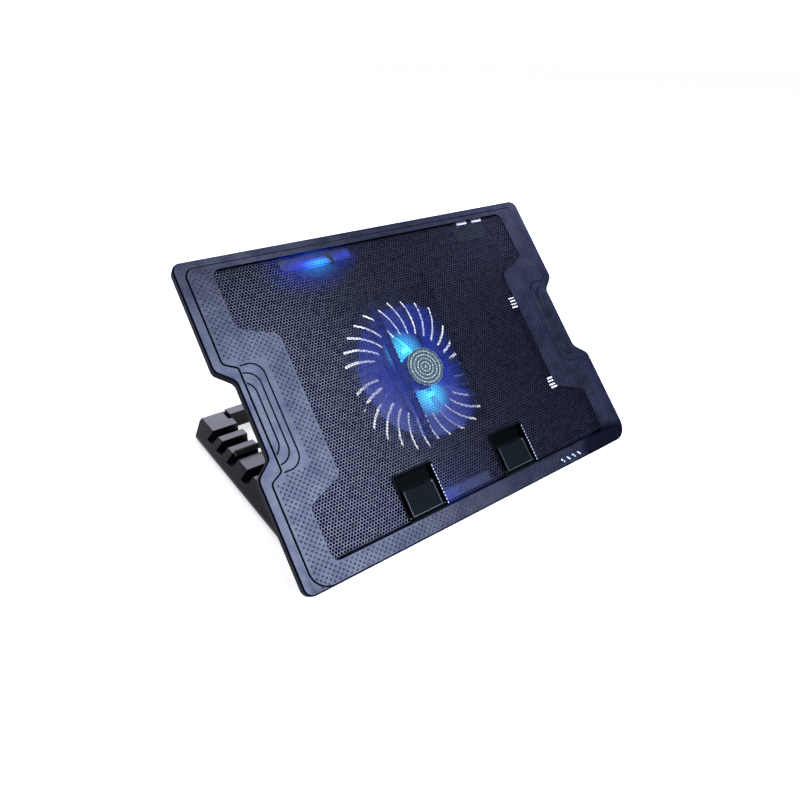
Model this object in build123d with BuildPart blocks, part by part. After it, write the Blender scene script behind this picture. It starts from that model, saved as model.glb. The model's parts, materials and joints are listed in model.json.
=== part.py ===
"""Laptop cooling pad: a perforated deck with one fan, on a base that props it up at an angle."""

from build123d import *
from math import atan2, cos, degrees, hypot, radians, sin
import os

# Millimetres and degrees. X runs across the pad, Y to its back and Z up from the desk.
# The origin lies on the desk, at the middle of the pad's footprint.
# On the deck, y runs from its front edge and a drop runs down from its surface.
# On the base, y runs from the hinge axis.

# Stance
tilt = 46
hinge_height = 8
hinge_inset = 12
deck_height = 28

# Deck
deck_width = 380
deck_depth = 280
corner_radius = 8
thumb_corner_radius = 17
notch_depth = 14
notch_front = 96
notch_back_border = 94
notch_slope = 12
bezel_thickness = 2.4
rim_drop = 0.8
rim_width = 9
plateau_inset = 1.5
rim_skirt_depth = 9.7
skirt_wall = 2
groove_width = 1
rim_chamfer = 1.2
step_inset = 6
step_front = 7
step_back = 4
ring_radius = 12
ring_depth = 0.6
window_front = 16
back_border = 12
side_border = 30
waist_step = 33
waist_front_step = 53
waist_back_step = 59
waist_slope = 13
window_radius = 7
mesh_thickness = 0.5
mesh_lip = 3
fit_gap = 0.3

# Bottom shell
shell_floor = 1.8
shell_inset = 0.6
tub_depth = 32
tub_half_width = 81
tub_wall = 2
tub_corner = 30
tub_draft = 4
fan_seat_height = 1.5
lug_width = 11
lug_radius = 7

# Fan
fan_y = 139
rotor_radius = 69
hub_radius = 20.5
hub_top = 12.2
blade_top = 14
blade_bottom = 23
blade_count = 9
blade_thickness = 1.5
shaft_radius = 1.5
running_gap = 0.05
running_height = 1.5
led_radius = 2.5
led_gap = 1
led_angle = 97.5
slit_count = 30
slit_inner = 42
slit_outer = 74
slit_width = 2.8
slit_lag = 12
slit_bow = 0.62
slit_phase = 4

# Base
base_half_width = 170
base_back = 262
base_bottom = 1.2
rack_crest = 17
rack_width = 36
beam_width = 40
edge_slope = 12.5
slot_floor = 8
slot_width = 13
rack_slots = (223.5, 199.5, 174.5, 140.5)
front_rail = (20, 34)
front_rail_drop = 3
back_corner = 10
step_width = 3
back_rail_depth = 14
back_rail_top = 19
foot_radius = 7
foot_height = 2.4
hinge_pin_radius = 2.5
hinge_gap = 0.5

# Prop
prop_reach = 95
prop_drop = 18.5
prop_tub_gap = 12
prop_arm_width = 10
prop_arm_height = 6
prop_foot_radius = 3
prop_foot_core = 2
prop_foot_inset = 13
prop_seat = 0.5
foot_bar_gap = 2
prop_pin_radius = 2
prop_eye_radius = 5
prop_ear = 4

# Laptop stops
stop_centres = (-65.5, 43.5)
stop_width = 42
stop_length = 42
stop_wall = 1.5
flap_width = 33
flap_length = 24
flap_thickness = 3
stop_hinge_y = 20
stop_hinge_drop = 2.6
stop_pin_radius = 1
stop_pin_end_gap = 0.3
flap_eye_radius = 2
flap_rest_width = 1.6
flap_nick = (14, 3, 1.4)

# Electrics
board_thickness = 1.6
usb_inset = (82, 62)
usb_width = 13
usb_height = 5.4
usb_depth = 14
usb_wall = 0.4
usb_recess = 1
usb_tongue = 1.6
usb_tongue_height = 2.7
usb_tongue_gap = 2.5
switch_gap = 4.5
switch_size = (14, 7)
switch_height = 6.5
board_margin = 22
board_depth = 28
switch_travel = 3
knob_width = 3.5
knob_height = 2.5
knob_length = 4.6

# Fasteners
corner_screw_inset = 18
waist_screw_inset = 40
back_screw_inset = 6.6
corner_screw_back = 10
waist_screw_front = 19
waist_screw_back = 17
front_screws_x = (-14, 100)
back_screws_x = (-124, 30)
screw_radius = 1.1
screw_boss_radius = 3
screw_head_radius = 2.4
screw_head_height = 1
screw_grip = 4
screw_cross = (3, 0.7)

# Derived places
turn = radians(tilt)
half_width = deck_width / 2
notch_back = deck_depth - notch_back_border
notch_middle = (notch_front + notch_back) / 2
window_back = deck_depth - back_border
window_half_width = half_width - side_border
waist_half_width = window_half_width - waist_step
waist_front = window_front + waist_front_step
waist_back = window_back - waist_back_step
stop_back = window_front + stop_length
usb_x = [half_width - inset for inset in usb_inset]
switch_span = switch_size[0] + switch_travel
switch_x = usb_x[0] - board_margin / 2 - switch_gap - switch_span / 2
prop_foot_half_length = base_half_width - prop_foot_inset
prop_arm_x = tub_half_width + prop_tub_gap + prop_arm_width / 2
shell_bottom = rim_skirt_depth + shell_floor
front_overhang = (hinge_inset - plateau_inset) * cos(turn) + deck_height * sin(turn)
hinge_y = (front_overhang - base_back) / 2
deck_front = (
    0,
    hinge_y - hinge_inset * cos(turn) - deck_height * sin(turn),
    hinge_height - hinge_inset * sin(turn) + deck_height * cos(turn),
)
deck = Plane(origin=deck_front, x_dir=(1, 0, 0), z_dir=(0, -sin(turn), cos(turn)))
deck_normal = Axis(deck.origin, deck.z_dir)
case_screws_at = [(x, window_front / 2) for x in front_screws_x]
case_screws_at += [(x, deck_depth - back_screw_inset) for x in back_screws_x]
for x in (corner_screw_inset - half_width, half_width - corner_screw_inset):
    case_screws_at += [(x, 2 * window_front), (x, window_back - corner_screw_back)]
for x in (waist_screw_inset - half_width, half_width - waist_screw_inset):
    case_screws_at += [(x, waist_front + waist_screw_front), (x, waist_back - waist_screw_back)]

# The prop hangs from its pivot to the mouth of its slot in the rack.
pivot_y = hinge_inset + prop_reach
prop_slot_y = rack_slots[-2]
prop_foot = Vector(0, hinge_y + prop_slot_y + prop_seat, rack_crest + prop_foot_radius)
prop_foot_deck = deck.to_local_coords(prop_foot)
prop_length = hypot(prop_foot_deck.Y - pivot_y, prop_foot_deck.Z + prop_drop)
prop_angle = degrees(atan2(-prop_foot_deck.Z - prop_drop, prop_foot_deck.Y - pivot_y))


def deck_at(drop):
    """The plane parallel to the deck surface, that far below it."""
    return deck.offset(-drop)


def deck_side(x):
    """The plane square to the hinge axis at x: along the deck, and up out of it."""
    return Plane(origin=deck.from_local_coords((x, 0, 0)), x_dir=deck.y_dir, z_dir=(1, 0, 0))


def desk_at(height):
    """The plane parallel to the desk, that far above it, with y counted from the hinge axis."""
    return Plane(origin=(0, hinge_y, height))


def base_side(x):
    """The upright plane square to the hinge axis at x: back from the axis, and up from the desk."""
    return Plane(origin=(x, hinge_y, 0), x_dir=(0, 1, 0), z_dir=(1, 0, 0))


def save(piece, name):
    """Label a finished piece and write it."""
    piece.part.label = name
    export_step(piece.part, f"parts/{name}.step")


os.makedirs("parts", exist_ok=True)

# Outlines that several pieces share

with BuildSketch(mode=Mode.PRIVATE) as deck_outline:
    Rectangle(deck_width, deck_depth, align=(Align.CENTER, Align.MIN))
    for side in (-1, 1):
        outer = side * deck_width / 2
        inner = outer - side * notch_depth
        with BuildLine():
            Polyline(
                (outer, notch_front),
                (inner, notch_front + notch_slope),
                (inner, notch_back - notch_slope),
                (outer, notch_back),
                close=True,
            )
        make_face(mode=Mode.SUBTRACT)
    thumb_corner = deck_outline.vertices().sort_by(Axis.Y)[:2].sort_by(Axis.X)[-1]
    fillet(thumb_corner, thumb_corner_radius)
    fillet(deck_outline.vertices().group_by(Axis.Y)[-1], corner_radius)
    fillet(deck_outline.vertices().group_by(Axis.Y)[0].sort_by(Axis.X)[0], corner_radius)
    notch_corners = deck_outline.vertices().filter_by_position(Axis.Y, notch_front - 1, notch_back + 1)
    fillet(notch_corners, corner_radius)

with BuildSketch(mode=Mode.PRIVATE) as plateau:
    land = deck_width / 2 - rim_width
    with Locations((0, plateau_inset)):
        Rectangle(2 * land, deck_depth - rim_width, align=(Align.CENTER, Align.MIN))
    for side in (-1, 1):
        outer = side * land
        inner = side * (deck_width / 2 - notch_depth - step_inset)
        with BuildLine():
            Polyline(
                (outer, notch_front - step_front),
                (inner, notch_front + notch_slope / 2 - step_front),
                (inner, notch_back - notch_slope / 2 + step_back),
                (outer, notch_back + step_back),
                close=True,
            )
        make_face(mode=Mode.SUBTRACT)
    fillet(plateau.vertices().group_by(Axis.Y)[0], 2 * corner_radius)
    fillet(plateau.vertices().group_by(Axis.Y)[-1], corner_radius)
    between = (notch_front - step_front - 1, notch_back + step_back + 1)
    step_corners = plateau.vertices().filter_by_position(Axis.Y, *between)
    fillet(step_corners, corner_radius / 2)

with BuildSketch(mode=Mode.PRIVATE) as window:
    with BuildLine():
        Polyline(
            (-window_half_width, window_front),
            (window_half_width, window_front),
            (window_half_width, waist_front - waist_slope / 2),
            (waist_half_width, waist_front + waist_slope / 2),
            (waist_half_width, waist_back - waist_slope / 2),
            (window_half_width, waist_back + waist_slope / 2),
            (window_half_width, window_back),
            (-window_half_width, window_back),
            (-window_half_width, waist_back + waist_slope / 2),
            (-waist_half_width, waist_back - waist_slope / 2),
            (-waist_half_width, waist_front + waist_slope / 2),
            (-window_half_width, waist_front - waist_slope / 2),
            close=True,
        )
    make_face()
    fillet(window.vertices(), window_radius)

# One slit of the fan grille and one blade of the rotor, about the fan's centre

lag = radians(slit_lag)
slit_middle = (slit_inner + slit_outer) / 2
slit_line = ThreePointArc(
    (slit_inner * cos(lag), -slit_inner * sin(lag)),
    (slit_middle * cos(lag * slit_bow), -slit_middle * sin(lag * slit_bow)),
    (slit_outer, 0),
)
with BuildSketch(mode=Mode.PRIVATE) as slit:
    SlotArc(slit_line, slit_width)

blade_line = ThreePointArc(
    (hub_radius, 0),
    (rotor_radius * 0.62, rotor_radius * 0.14),
    (rotor_radius * 0.9, rotor_radius * 0.4),
)
with BuildSketch(mode=Mode.PRIVATE) as blade:
    SlotArc(blade_line, blade_thickness)

# Top bezel: the moulded border of the deck, with its skirt, grip grooves and screw bosses

trim_inset = 12
trim_length = 49
trim_front = 3
trim_back = 14
grip_insets = (38.5, 32.5, 26.5)
grip_lengths = (92, 79, 66)
trim_gap = 0.4
trim_radius = 4
trim_rise = 0.1
trim_centre = (half_width - trim_inset - trim_length / 2, (trim_front + trim_back) / 2)

with BuildPart() as top_bezel:
    with BuildSketch(deck_at(rim_drop)):
        add(deck_outline.sketch)
    extrude(amount=rim_drop - rim_skirt_depth)
    chamfer(top_bezel.faces().sort_by(deck_normal)[-1].outer_wire().edges(), rim_chamfer)
    with BuildSketch(deck_at(bezel_thickness)):
        add(deck_outline.sketch)
        offset(amount=-skirt_wall)
    extrude(amount=bezel_thickness - rim_skirt_depth, mode=Mode.SUBTRACT)
    with BuildSketch(deck_at(rim_drop)):
        add(plateau.sketch)
    extrude(amount=rim_drop)
    with BuildSketch(deck_at(rim_drop)):
        add(plateau.sketch)
        offset(amount=groove_width)
        add(plateau.sketch, mode=Mode.SUBTRACT)
    extrude(amount=-rim_drop, mode=Mode.SUBTRACT)
    with BuildSketch(deck):
        for side in (-1, 1):
            for inset, length in zip(grip_insets, grip_lengths):
                ring_x = side * (half_width - inset / 2)
                with Locations((ring_x, notch_middle - 1.5)):
                    RectangleRounded(inset, length, ring_radius)
                    inner_ring = (inset - 2 * groove_width, length - 2 * groove_width)
                    RectangleRounded(*inner_ring, ring_radius - groove_width, mode=Mode.SUBTRACT)
            with Locations((side * half_width, notch_middle)):
                Rectangle(2 * (notch_depth + step_inset + 1), deck_depth / 2, mode=Mode.SUBTRACT)
    extrude(amount=-ring_depth, mode=Mode.SUBTRACT)
    with BuildSketch(deck):
        add(window.sketch)
    extrude(amount=-bezel_thickness, mode=Mode.SUBTRACT)
    with BuildSketch(deck_at(rim_drop)):
        add(window.sketch)
        offset(amount=mesh_lip)
    extrude(amount=-bezel_thickness, mode=Mode.SUBTRACT)
    with BuildSketch(deck):
        with Locations(trim_centre):
            RectangleRounded(trim_length, trim_back - trim_front, trim_radius)
    extrude(amount=-rim_drop, mode=Mode.SUBTRACT)
    with BuildSketch(deck_at(bezel_thickness)):
        with Locations(*case_screws_at):
            Circle(screw_boss_radius)
    extrude(amount=bezel_thickness - rim_skirt_depth + 0.01)
    with BuildSketch(deck_at(rim_skirt_depth)):
        with Locations(*case_screws_at):
            Circle(screw_radius + running_gap)
    extrude(amount=rim_skirt_depth - bezel_thickness, mode=Mode.SUBTRACT)
    with BuildSketch(deck_at(rim_skirt_depth - board_thickness + fit_gap)):
        with Locations(*[(x, deck_depth) for x in usb_x]):
            Rectangle(usb_width + 2 * fit_gap, 3 * skirt_wall)
    extrude(amount=usb_height + 2 * fit_gap, mode=Mode.SUBTRACT)
    with BuildSketch(deck_at(rim_skirt_depth - board_thickness - 1)):
        with Locations((switch_x + switch_travel / 2, deck_depth)):
            Rectangle(knob_width + switch_travel + 4 * fit_gap, 3 * skirt_wall)
    extrude(amount=knob_height + 2 * fit_gap, mode=Mode.SUBTRACT)
save(top_bezel, "top_bezel")

with BuildPart() as corner_trim:
    with BuildSketch(deck_at(rim_drop)):
        with Locations(trim_centre):
            trim_size = (trim_length - trim_gap, trim_back - trim_front - trim_gap)
            RectangleRounded(*trim_size, trim_radius - trim_gap / 2)
    extrude(amount=rim_drop + trim_rise)
save(corner_trim, "corner_trim")

# Mesh panel: the perforated steel sheet, let in under the bezel's lip

with BuildPart() as mesh_panel:
    with BuildSketch(deck_at(rim_drop)):
        add(window.sketch)
        offset(amount=mesh_lip - fit_gap)
        for x in stop_centres:
            with Locations((x, (window_front + stop_back) / 2 - 2)):
                Rectangle(stop_width + 2 * fit_gap, stop_back - window_front + 4 + 2 * fit_gap,
                          mode=Mode.SUBTRACT)
    extrude(amount=-mesh_thickness)
save(mesh_panel, "mesh_panel")

# Mesh support: the ribs that carry the mesh over the fan, with a cover over its right and front

rib_height = rim_skirt_depth - rim_drop - mesh_thickness
rib_width = 3
rib_length = 164
leg_overhang = 6
cover_depth = 10
rib_gap = 4
rib_front = stop_back + rib_gap
rib_back = rib_front + rib_length
rib_x = (-31, 38)
leg_y = (rib_front + rib_width / 2, rib_back - rib_width / 2)
leg_reach = tub_half_width + leg_overhang
cover_front = rib_front + cover_depth
cover_drop = 3.5
cover_thickness = 1.5

with BuildPart() as mesh_support:
    with BuildSketch(deck_at(rim_drop + mesh_thickness)):
        for x in rib_x:
            with Locations((x, (rib_front + rib_back) / 2)):
                Rectangle(rib_width, rib_back - rib_front)
            leg = leg_reach - abs(x)
            for y in leg_y:
                with Locations((x + (leg / 2 if x > 0 else -leg / 2), y)):
                    Rectangle(leg, rib_width)
        with Locations((sum(rib_x) / 2, rib_front)):
            Rectangle(rib_x[1] - rib_x[0], rib_width, align=(Align.CENTER, Align.MIN))
    extrude(amount=-rib_height)
    with BuildSketch(deck_at(cover_drop)):
        with Locations((rib_x[1], rib_front)):
            Rectangle(leg_reach - rib_x[1], rib_back - rib_front, align=(Align.MIN, Align.MIN))
        with Locations((rib_x[0], rib_front)):
            Rectangle(rib_x[1] - rib_x[0], cover_front - rib_front, align=(Align.MIN, Align.MIN))
    extrude(amount=-cover_thickness)
save(mesh_support, "mesh_support")

# Bottom shell: tray, fan tub with its curved slits, hinge lugs and prop ears

tub_front = fan_y - tub_half_width
tub_centre = (0, fan_y)
lug_x = base_half_width - beam_width / 2
vent_inset = 56
vent_at = [(half_width - vent_inset, y) for y in (173, 81)]
vent_slot = (11, 1.8)
vent_pitch = 3.4

with BuildPart() as bottom_shell:
    with BuildSketch(deck_at(rim_skirt_depth)):
        add(deck_outline.sketch)
        offset(amount=-shell_inset)
    extrude(amount=-shell_floor)
    with BuildSketch(deck_at(rim_skirt_depth)):
        with Locations(tub_centre):
            RectangleRounded(2 * tub_half_width, 2 * tub_half_width, tub_corner)
    extrude(amount=rim_skirt_depth - tub_depth, taper=tub_draft)
    with BuildSketch(deck_at(rim_skirt_depth)):
        with Locations(tub_centre):
            tub_inside = 2 * (tub_half_width - tub_wall)
            RectangleRounded(tub_inside, tub_inside, tub_corner - tub_wall)
    extrude(amount=rim_skirt_depth - tub_depth + tub_wall, taper=tub_draft, mode=Mode.SUBTRACT)
    with BuildSketch(deck_at(tub_depth)):
        with Locations(tub_centre):
            with PolarLocations(0, slit_count, start_angle=slit_phase):
                add(slit.sketch)
    extrude(amount=2 * tub_wall, mode=Mode.SUBTRACT)
    with BuildSketch(deck_at(tub_depth - tub_wall)):
        with Locations(tub_centre):
            Circle(hub_radius - 2)
    extrude(amount=fan_seat_height)
    for x, y in vent_at:
        with BuildSketch(deck_at(rim_skirt_depth)):
            with Locations((x, y)):
                with GridLocations(0, vent_pitch, 1, 4):
                    Rectangle(*vent_slot)
        extrude(amount=-shell_floor, mode=Mode.SUBTRACT)
    for side in (-1, 1):
        with BuildSketch(deck_side(side * lug_x - lug_width / 2)):
            with BuildLine():
                Polyline(
                    (hinge_inset - lug_radius, -deck_height),
                    (hinge_inset - lug_radius, -shell_bottom + 0.5),
                    (hinge_inset + 2 * lug_radius, -shell_bottom + 0.5),
                    (hinge_inset + lug_radius, -deck_height),
                    close=True,
                )
            make_face()
            with Locations((hinge_inset, -deck_height)):
                Circle(lug_radius)
                Circle(hinge_pin_radius + running_gap, mode=Mode.SUBTRACT)
        extrude(amount=lug_width)
        for edge in (-1, 1):
            ear_x = side * prop_arm_x + edge * (prop_arm_width + prop_ear + 2 * hinge_gap) / 2
            with BuildSketch(deck_side(ear_x - prop_ear / 2)):
                with Locations((pivot_y, -(shell_bottom + prop_drop) / 2)):
                    Rectangle(2 * prop_eye_radius, prop_drop - shell_bottom + 1)
                with Locations((pivot_y, -prop_drop)):
                    Circle(prop_eye_radius)
                    Circle(prop_pin_radius + running_gap, mode=Mode.SUBTRACT)
            extrude(amount=prop_ear)
    with BuildSketch(deck_at(shell_bottom)):
        with Locations(*case_screws_at):
            Circle(screw_head_radius + fit_gap)
    extrude(amount=screw_head_height, mode=Mode.SUBTRACT)
    with BuildSketch(deck_at(shell_bottom)):
        with Locations(*case_screws_at):
            Circle(screw_radius + fit_gap)
    extrude(amount=shell_floor, mode=Mode.SUBTRACT)
save(bottom_shell, "bottom_shell")

with BuildPart() as case_screws:
    with BuildSketch(deck_at(shell_bottom)):
        with Locations(*case_screws_at):
            Circle(screw_head_radius)
    extrude(amount=screw_head_height)
    with BuildSketch(deck_at(shell_bottom - screw_head_height)):
        with Locations(*case_screws_at):
            Circle(screw_radius)
    extrude(amount=shell_floor + screw_grip)
    with BuildSketch(deck_at(shell_bottom)):
        with Locations(*case_screws_at):
            Rectangle(*screw_cross)
            Rectangle(*reversed(screw_cross))
    extrude(amount=screw_head_height / 2, mode=Mode.SUBTRACT)
save(case_screws, "case_screws")

# Fan

fan_floor = tub_depth - tub_wall - fan_seat_height
stator_radius = 12
sleeve_radius = 3.5
stator_drop = hub_top + 3.5
stator_slot = (7, 3)
hub_wall = 1.5
label_inset = 2
label_thickness = 0.3
fan_board_thickness = 1

with BuildPart() as fan_board:
    with BuildSketch(deck_at(fan_floor)):
        with Locations(tub_centre):
            Circle(hub_radius - 2.5)
            Circle(sleeve_radius, mode=Mode.SUBTRACT)
    extrude(amount=1)
save(fan_board, "fan_board")

with BuildPart() as fan_bearing:
    with BuildSketch(deck_at(fan_floor)):
        with Locations(tub_centre):
            Circle(sleeve_radius)
    extrude(amount=fan_floor - stator_drop)
    with BuildSketch(deck_at(fan_floor - 1)):
        with Locations(tub_centre):
            Circle(shaft_radius + running_gap)
    extrude(amount=fan_floor - stator_drop - 1, mode=Mode.SUBTRACT)
save(fan_bearing, "fan_bearing")

with BuildPart() as fan_stator:
    with BuildSketch(deck_at(fan_floor - 2)):
        with Locations(tub_centre):
            Circle(stator_radius)
            Circle(sleeve_radius, mode=Mode.SUBTRACT)
            with PolarLocations(stator_radius, 4, start_angle=45):
                Rectangle(*stator_slot, mode=Mode.SUBTRACT)
    extrude(amount=fan_floor - 3 - stator_drop)
save(fan_stator, "fan_stator")

with BuildPart() as fan_shaft:
    with BuildSketch(deck_at(fan_floor - 2)):
        with Locations(tub_centre):
            Circle(shaft_radius)
    extrude(amount=fan_floor - 2 - hub_top - hub_wall)
save(fan_shaft, "fan_shaft")

with BuildPart() as fan_rotor:
    with BuildSketch(deck_at(hub_top)):
        with Locations(tub_centre):
            Circle(hub_radius)
    extrude(amount=hub_top - fan_floor + 2.5)
    with BuildSketch(deck_at(hub_top + hub_wall)):
        with Locations(tub_centre):
            Circle(hub_radius - hub_wall)
    extrude(amount=-tub_depth, mode=Mode.SUBTRACT)
    with BuildSketch(deck_at(blade_bottom)):
        with Locations(tub_centre):
            with PolarLocations(0, blade_count):
                add(blade.sketch)
            Circle(hub_radius - 1, mode=Mode.SUBTRACT)
    extrude(amount=blade_bottom - blade_top)
save(fan_rotor, "fan_rotor")

with BuildPart() as hub_label:
    with BuildSketch(deck_at(hub_top)):
        with Locations(tub_centre):
            Circle(hub_radius - label_inset)
    extrude(amount=label_thickness)
save(hub_label, "hub_label")

with BuildPart() as hub_leds:
    with BuildSketch(deck_at(tub_depth - tub_wall)):
        with Locations(tub_centre):
            with PolarLocations(hub_radius + led_radius + led_gap, 2, start_angle=led_angle):
                Circle(led_radius)
    extrude(amount=tub_depth - tub_wall - blade_bottom - running_height)
    fillet(hub_leds.faces().group_by(deck_normal)[-1].edges(), led_radius * 0.8)
save(hub_leds, "hub_leds")

# Light bars under the mesh

light_bar_height = 5
back_bar_x = (-100, -30)
back_bar_width = 10
bar_edge_gap = 2
front_bar_x = (-42, 10)
front_bar_inset = 4
front_bar_width = 9
front_bar_y = window_front + front_bar_inset
light_bars = {
    "light_bar_back": (*back_bar_x, window_back - bar_edge_gap - back_bar_width, window_back - bar_edge_gap),
    "light_bar_front": (*front_bar_x, front_bar_y, front_bar_y + front_bar_width),
}
for name, (left, right, front, back) in light_bars.items():
    with BuildPart() as light_bar:
        with BuildSketch(deck_at(rim_skirt_depth)):
            with Locations(((left + right) / 2, (front + back) / 2)):
                RectangleRounded(right - left, back - front, 2)
        extrude(amount=light_bar_height)
    save(light_bar, name)

# Hub board, sockets and switch at the back

board_back = deck_depth - skirt_wall - 1
switch_middle = switch_x + switch_travel / 2
knob_drop = rim_skirt_depth - board_thickness - 1

with BuildPart() as usb_board:
    with BuildSketch(deck_at(rim_skirt_depth)):
        with Locations(((usb_x[0] + usb_x[1]) / 2, board_back)):
            Rectangle(usb_x[1] - usb_x[0] + board_margin, board_depth, align=(Align.CENTER, Align.MAX))
    extrude(amount=board_thickness)
save(usb_board, "usb_board")

with BuildPart() as usb_sockets:
    for x in usb_x:
        with BuildSketch(deck_at(rim_skirt_depth - board_thickness)):
            with Locations((x, deck_depth - usb_recess - usb_depth / 2)):
                Rectangle(usb_width, usb_depth)
        extrude(amount=usb_height)
    for x in usb_x:
        with BuildSketch(deck_at(rim_skirt_depth - board_thickness - usb_wall)):
            with Locations((x, deck_depth - usb_depth / 2)):
                Rectangle(usb_width - 2 * usb_wall, usb_depth)
        extrude(amount=usb_height - 2 * usb_wall, mode=Mode.SUBTRACT)
    for x in usb_x:
        with BuildSketch(deck_at(rim_skirt_depth - board_thickness - usb_tongue_height)):
            with Locations((x, deck_depth - usb_recess - (usb_depth + 1) / 2)):
                Rectangle(usb_width - usb_tongue_gap, usb_depth - 1)
        extrude(amount=usb_tongue)
save(usb_sockets, "usb_sockets")

with BuildPart() as switch_body:
    with BuildSketch(deck_at(rim_skirt_depth)):
        with Locations((switch_middle, board_back)):
            Rectangle(*switch_size, align=(Align.CENTER, Align.MAX))
    extrude(amount=switch_height)
    with BuildSketch(deck_at(knob_drop)):
        with Locations((switch_middle, board_back)):
            Rectangle(knob_width + switch_travel + 4 * fit_gap, switch_size[1] - 1)
    extrude(amount=knob_height + 2 * fit_gap, mode=Mode.SUBTRACT)
save(switch_body, "switch_body")

with BuildPart() as switch_knob:
    with BuildSketch(deck_at(knob_drop - fit_gap)):
        with Locations((switch_x, deck_depth - skirt_wall + 0.5)):
            Rectangle(knob_width, knob_length)
    extrude(amount=knob_height)
save(switch_knob, "switch_knob")

# Laptop stops: a housing let into the deck, a flap and its pin, twice

pocket_floor = rim_skirt_depth - stop_wall
stop_depth = stop_back - window_front - fit_gap
stop_middle = (stop_back + window_front + fit_gap) / 2
flap_front = stop_hinge_y
flap_drop = stop_hinge_drop - flap_eye_radius
flap_rest_height = pocket_floor - flap_drop - flap_thickness - 0.2

for name, x in zip(("left", "right"), stop_centres):
    with BuildPart() as stop_housing:
        with BuildSketch(deck_at(rim_skirt_depth)):
            with Locations((x, stop_middle)):
                RectangleRounded(stop_width, stop_depth, 2)
        extrude(amount=rim_skirt_depth)
        with BuildSketch(deck_at(pocket_floor)):
            with Locations((x, stop_middle)):
                RectangleRounded(stop_width - 2 * stop_wall, stop_depth - 2 * stop_wall, 1)
        extrude(amount=pocket_floor, mode=Mode.SUBTRACT)
        with BuildSketch(deck_side(x)):
            with Locations((stop_hinge_y, -stop_hinge_drop)):
                Circle(stop_pin_radius + running_gap)
        extrude(amount=stop_width, both=True, mode=Mode.SUBTRACT)
        with BuildSketch(deck_side(x - flap_width / 2)):
            with Locations((stop_hinge_y + flap_length - 4, -pocket_floor)):
                Rectangle(flap_rest_width, flap_rest_height, align=(Align.CENTER, Align.MIN))
        extrude(amount=flap_width)
    save(stop_housing, f"stop_housing_{name}")

    with BuildPart() as stop_flap:
        with BuildSketch(deck_side(x - flap_width / 2)):
            with Locations((flap_front, -flap_drop)):
                Rectangle(flap_length, flap_thickness, align=(Align.MIN, Align.MAX))
            with Locations((stop_hinge_y, -stop_hinge_drop)):
                Circle(flap_eye_radius)
                Circle(stop_pin_radius + running_gap, mode=Mode.SUBTRACT)
        extrude(amount=flap_width)
        with BuildSketch(deck_at(flap_drop)):
            with Locations((x, flap_front + flap_length)):
                Rectangle(flap_nick[0], flap_nick[1])
        extrude(amount=-flap_nick[2], mode=Mode.SUBTRACT)
    save(stop_flap, f"stop_flap_{name}")

    with BuildPart() as stop_pin:
        with BuildSketch(deck_side(x - stop_width / 2 + stop_pin_end_gap)):
            with Locations((stop_hinge_y, -stop_hinge_drop)):
                Circle(stop_pin_radius)
        extrude(amount=stop_width - 2 * stop_pin_end_gap)
    save(stop_pin, f"stop_pin_{name}")

# Base: two racks joined by a front and a back rail

ear_split = lug_width / 2 + hinge_gap
beam_x = base_half_width - beam_width / 2

with BuildPart() as base_frame:
    for side in (-1, 1):
        outer = side * base_half_width
        with BuildSketch(Plane.XZ.offset(-hinge_y - base_back)):
            with BuildLine():
                Polyline(
                    (outer, base_bottom),
                    (outer, rack_crest - edge_slope),
                    (outer - side * edge_slope, rack_crest),
                    (outer - side * beam_width, rack_crest),
                    (outer - side * beam_width, base_bottom),
                    close=True,
                )
            make_face()
        extrude(amount=base_back)
        with BuildSketch(base_side(side * beam_x - beam_width / 2)):
            with Locations((0, hinge_height)):
                Circle(hinge_height - base_bottom)
        extrude(amount=beam_width)
    with BuildSketch(desk_at(base_bottom)):
        with Locations((0, sum(front_rail) / 2)):
            Rectangle(2 * (base_half_width - beam_width) + 2, front_rail[1] - front_rail[0])
    extrude(amount=rack_crest - base_bottom - front_rail_drop)
    with BuildSketch(desk_at(base_bottom)):
        with Locations((0, base_back - back_rail_depth / 2)):
            Rectangle(2 * (base_half_width - beam_width) + 2, back_rail_depth)
    extrude(amount=back_rail_top - base_bottom)
    back_corners = base_frame.edges().filter_by(Axis.Z).group_by(Axis.Y)[-1]
    chamfer([back_corners.sort_by(Axis.X)[0], back_corners.sort_by(Axis.X)[-1]], back_corner)
    with BuildSketch(desk_at(slot_floor)):
        for side in (-1, 1):
            for y in rack_slots:
                with Locations((side * (base_half_width - beam_width + rack_width / 2 - 1), y)):
                    Rectangle(rack_width, slot_width)
    extrude(amount=rack_crest, mode=Mode.SUBTRACT)
    with BuildSketch(desk_at(slot_floor + front_rail_drop)):
        for side in (-1, 1):
            step_x = base_half_width - beam_width + 1 + step_width / 2
            with Locations((side * step_x, base_back - back_rail_depth / 2 - 4)):
                Rectangle(step_width, back_rail_depth)
    extrude(amount=rack_crest, mode=Mode.SUBTRACT)
    with BuildSketch(base_side(-base_half_width)):
        with Locations((0, hinge_height)):
            Circle(hinge_pin_radius + running_gap)
    extrude(amount=2 * base_half_width, mode=Mode.SUBTRACT)
    with BuildSketch(desk_at(0)):
        for side in (-1, 1):
            with Locations((side * lug_x, 0)):
                Rectangle(2 * ear_split, 2 * front_rail[0])
    extrude(amount=2 * rack_crest, mode=Mode.SUBTRACT)
    feet_at = [
        (side * beam_x, y) for side in (-1, 1) for y in (front_rail[1] + 6, base_back / 2, base_back - 16)
    ]
    with BuildSketch(desk_at(base_bottom)):
        with Locations(*feet_at):
            Circle(foot_radius + fit_gap)
    extrude(amount=foot_height - base_bottom, mode=Mode.SUBTRACT)
save(base_frame, "base_frame")

with BuildPart() as base_feet:
    with BuildSketch(desk_at(0)):
        with Locations(*feet_at):
            Circle(foot_radius)
    extrude(amount=foot_height)
save(base_feet, "base_feet")

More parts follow.
